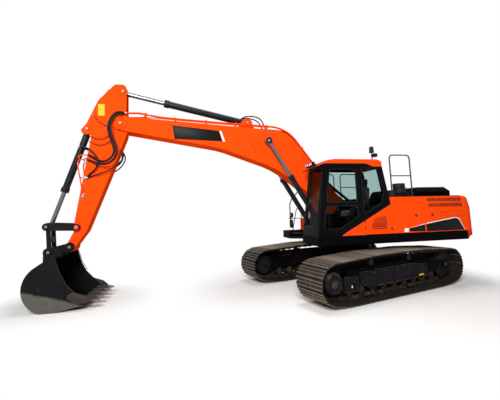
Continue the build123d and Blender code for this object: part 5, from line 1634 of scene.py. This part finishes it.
# The beads are painted a darker orange, as painted shade along the seams.
fit("boom_beads", beads(0.2365, (
    ((5.539, 3.933), (5.277, 3.90), (5.214, 4.045)),
    ((5.035, 4.102), (5.144, 3.793)),
    ((4.996, 4.103), (4.551, 4.046)),
)), "slit_paint", "boom", "orange_paint")
fit("arm_beads", beads(0.1615, (
    ((6.233, 4.568), (6.004, 4.889), (5.893, 4.896), (5.701, 4.698)),
    ((6.257, 4.183), (6.028, 3.79), (5.953, 3.712)),
    ((6.443, 3.377), (6.301, 3.35), (6.191, 3.234)),
)), "slit_paint", "arm", "orange_paint")
fit("boom_hook", [pipe([(2.573, 0.245, 3.61), (2.52, 0.262, 3.50), (2.395, 0.245, 3.405)], 0.012, 0.03)],
    "orange_paint", "boom")

# %% [markdown]
# ## Floor
# The floor is a plain pale disc. Away from the machine it turns into the same white as the sky,
# so that no horizon shows. That white could come from more light, but this would bleach the
# machine. Light Path shows it to the camera, in gloss and through glass only, so it lights
# nothing.

# %% Floor
def seen_in(finish):
    """1 where the camera looks straight, in gloss or through glass, 0 for light that falls."""
    rays = [finish.node("LightPath", output=f"Is {kind} Ray") for kind in ("Camera", "Glossy", "Transmission")]
    return rays[0] + rays[1] + rays[2]


deselect()
bpy.ops.mesh.primitive_circle_add(vertices=96, radius=60, fill_type="NGON", location=(2, 0, 0))
floor = place_in_mesh(bpy.context.active_object)
floor.name = "floor"
ground = Finish("floor")
under_tracks, under_bucket = (0, 0.4, 0), (6.7, 0, 0)
away = [
    ground.node("VectorMath", {"operation": "DISTANCE"}, {0: ground.place, 1: spot}, "Value")
    for spot in (under_tracks, under_bucket)
]
fade = ground.step(away[0], 2.8, 4.6) * ground.step(away[1], 0.9, 2.0)
pale = ground.mix((0.86, 0.86, 0.86, 1), (0.89, 0.89, 0.89, 1), ground.noise(3))
matt = ground.node("BsdfDiffuse", {}, {"Color": pale})
bright = ground.node("Emission", {}, {"Color": (1, 1, 1, 1), "Strength": 1.0})
blend = ground.node("MixShader", {}, {0: fade * seen_in(ground), 1: matt, 2: bright})
ground.node("OutputMaterial", {}, {0: blend})
floor.data.materials.append(ground.material)
print("floor faces", len(floor.data.polygons))

# %% [markdown]
# ## Sky and lamps
# Soft light comes from a large lamp behind the camera on its left, a weaker one above, another
# behind the machine, and the sky. Small lamps would give hard shadows, so all are metres wide.

# %% Sky and lamps
world = bpy.data.worlds.new("sky")
bpy.context.scene.world = world
sky = Finish("sky", world)
soft_sky = sky.node("Background", {}, {"Color": (0.94, 0.97, 1.0, 1), "Strength": 0.13})
white_sky = sky.node("Background", {}, {"Color": (1, 1, 1, 1), "Strength": 1.0})
sky.node("OutputWorld", {}, {0: sky.node("MixShader", {}, {0: seen_in(sky), 1: soft_sky, 2: white_sky})})


def lamp(name, place, aim, size, watts, colour=(1, 1, 1)):
    """A large soft lamp that points at a place on the machine."""
    deselect()
    bpy.ops.object.light_add(type="AREA", location=place)
    light = bpy.context.active_object
    light.name = name
    light.data.shape = "DISK"
    light.data.size = size
    light.data.energy = watts
    light.data.color = colour
    light.rotation_euler = (Vector(aim) - Vector(place)).to_track_quat("-Z", "Y").to_euler()
    print(name, watts, "W")


lamp("key_light", (7, 12, 8), (2, 0, 1.8), 6, 2450, (1.0, 0.985, 0.96))
lamp("top_light", (1.5, 0, 12), (2, 0, 0), 6, 520)
lamp("rear_light", (-9, -8, 7), (1, 0, 1.5), 5, 260)
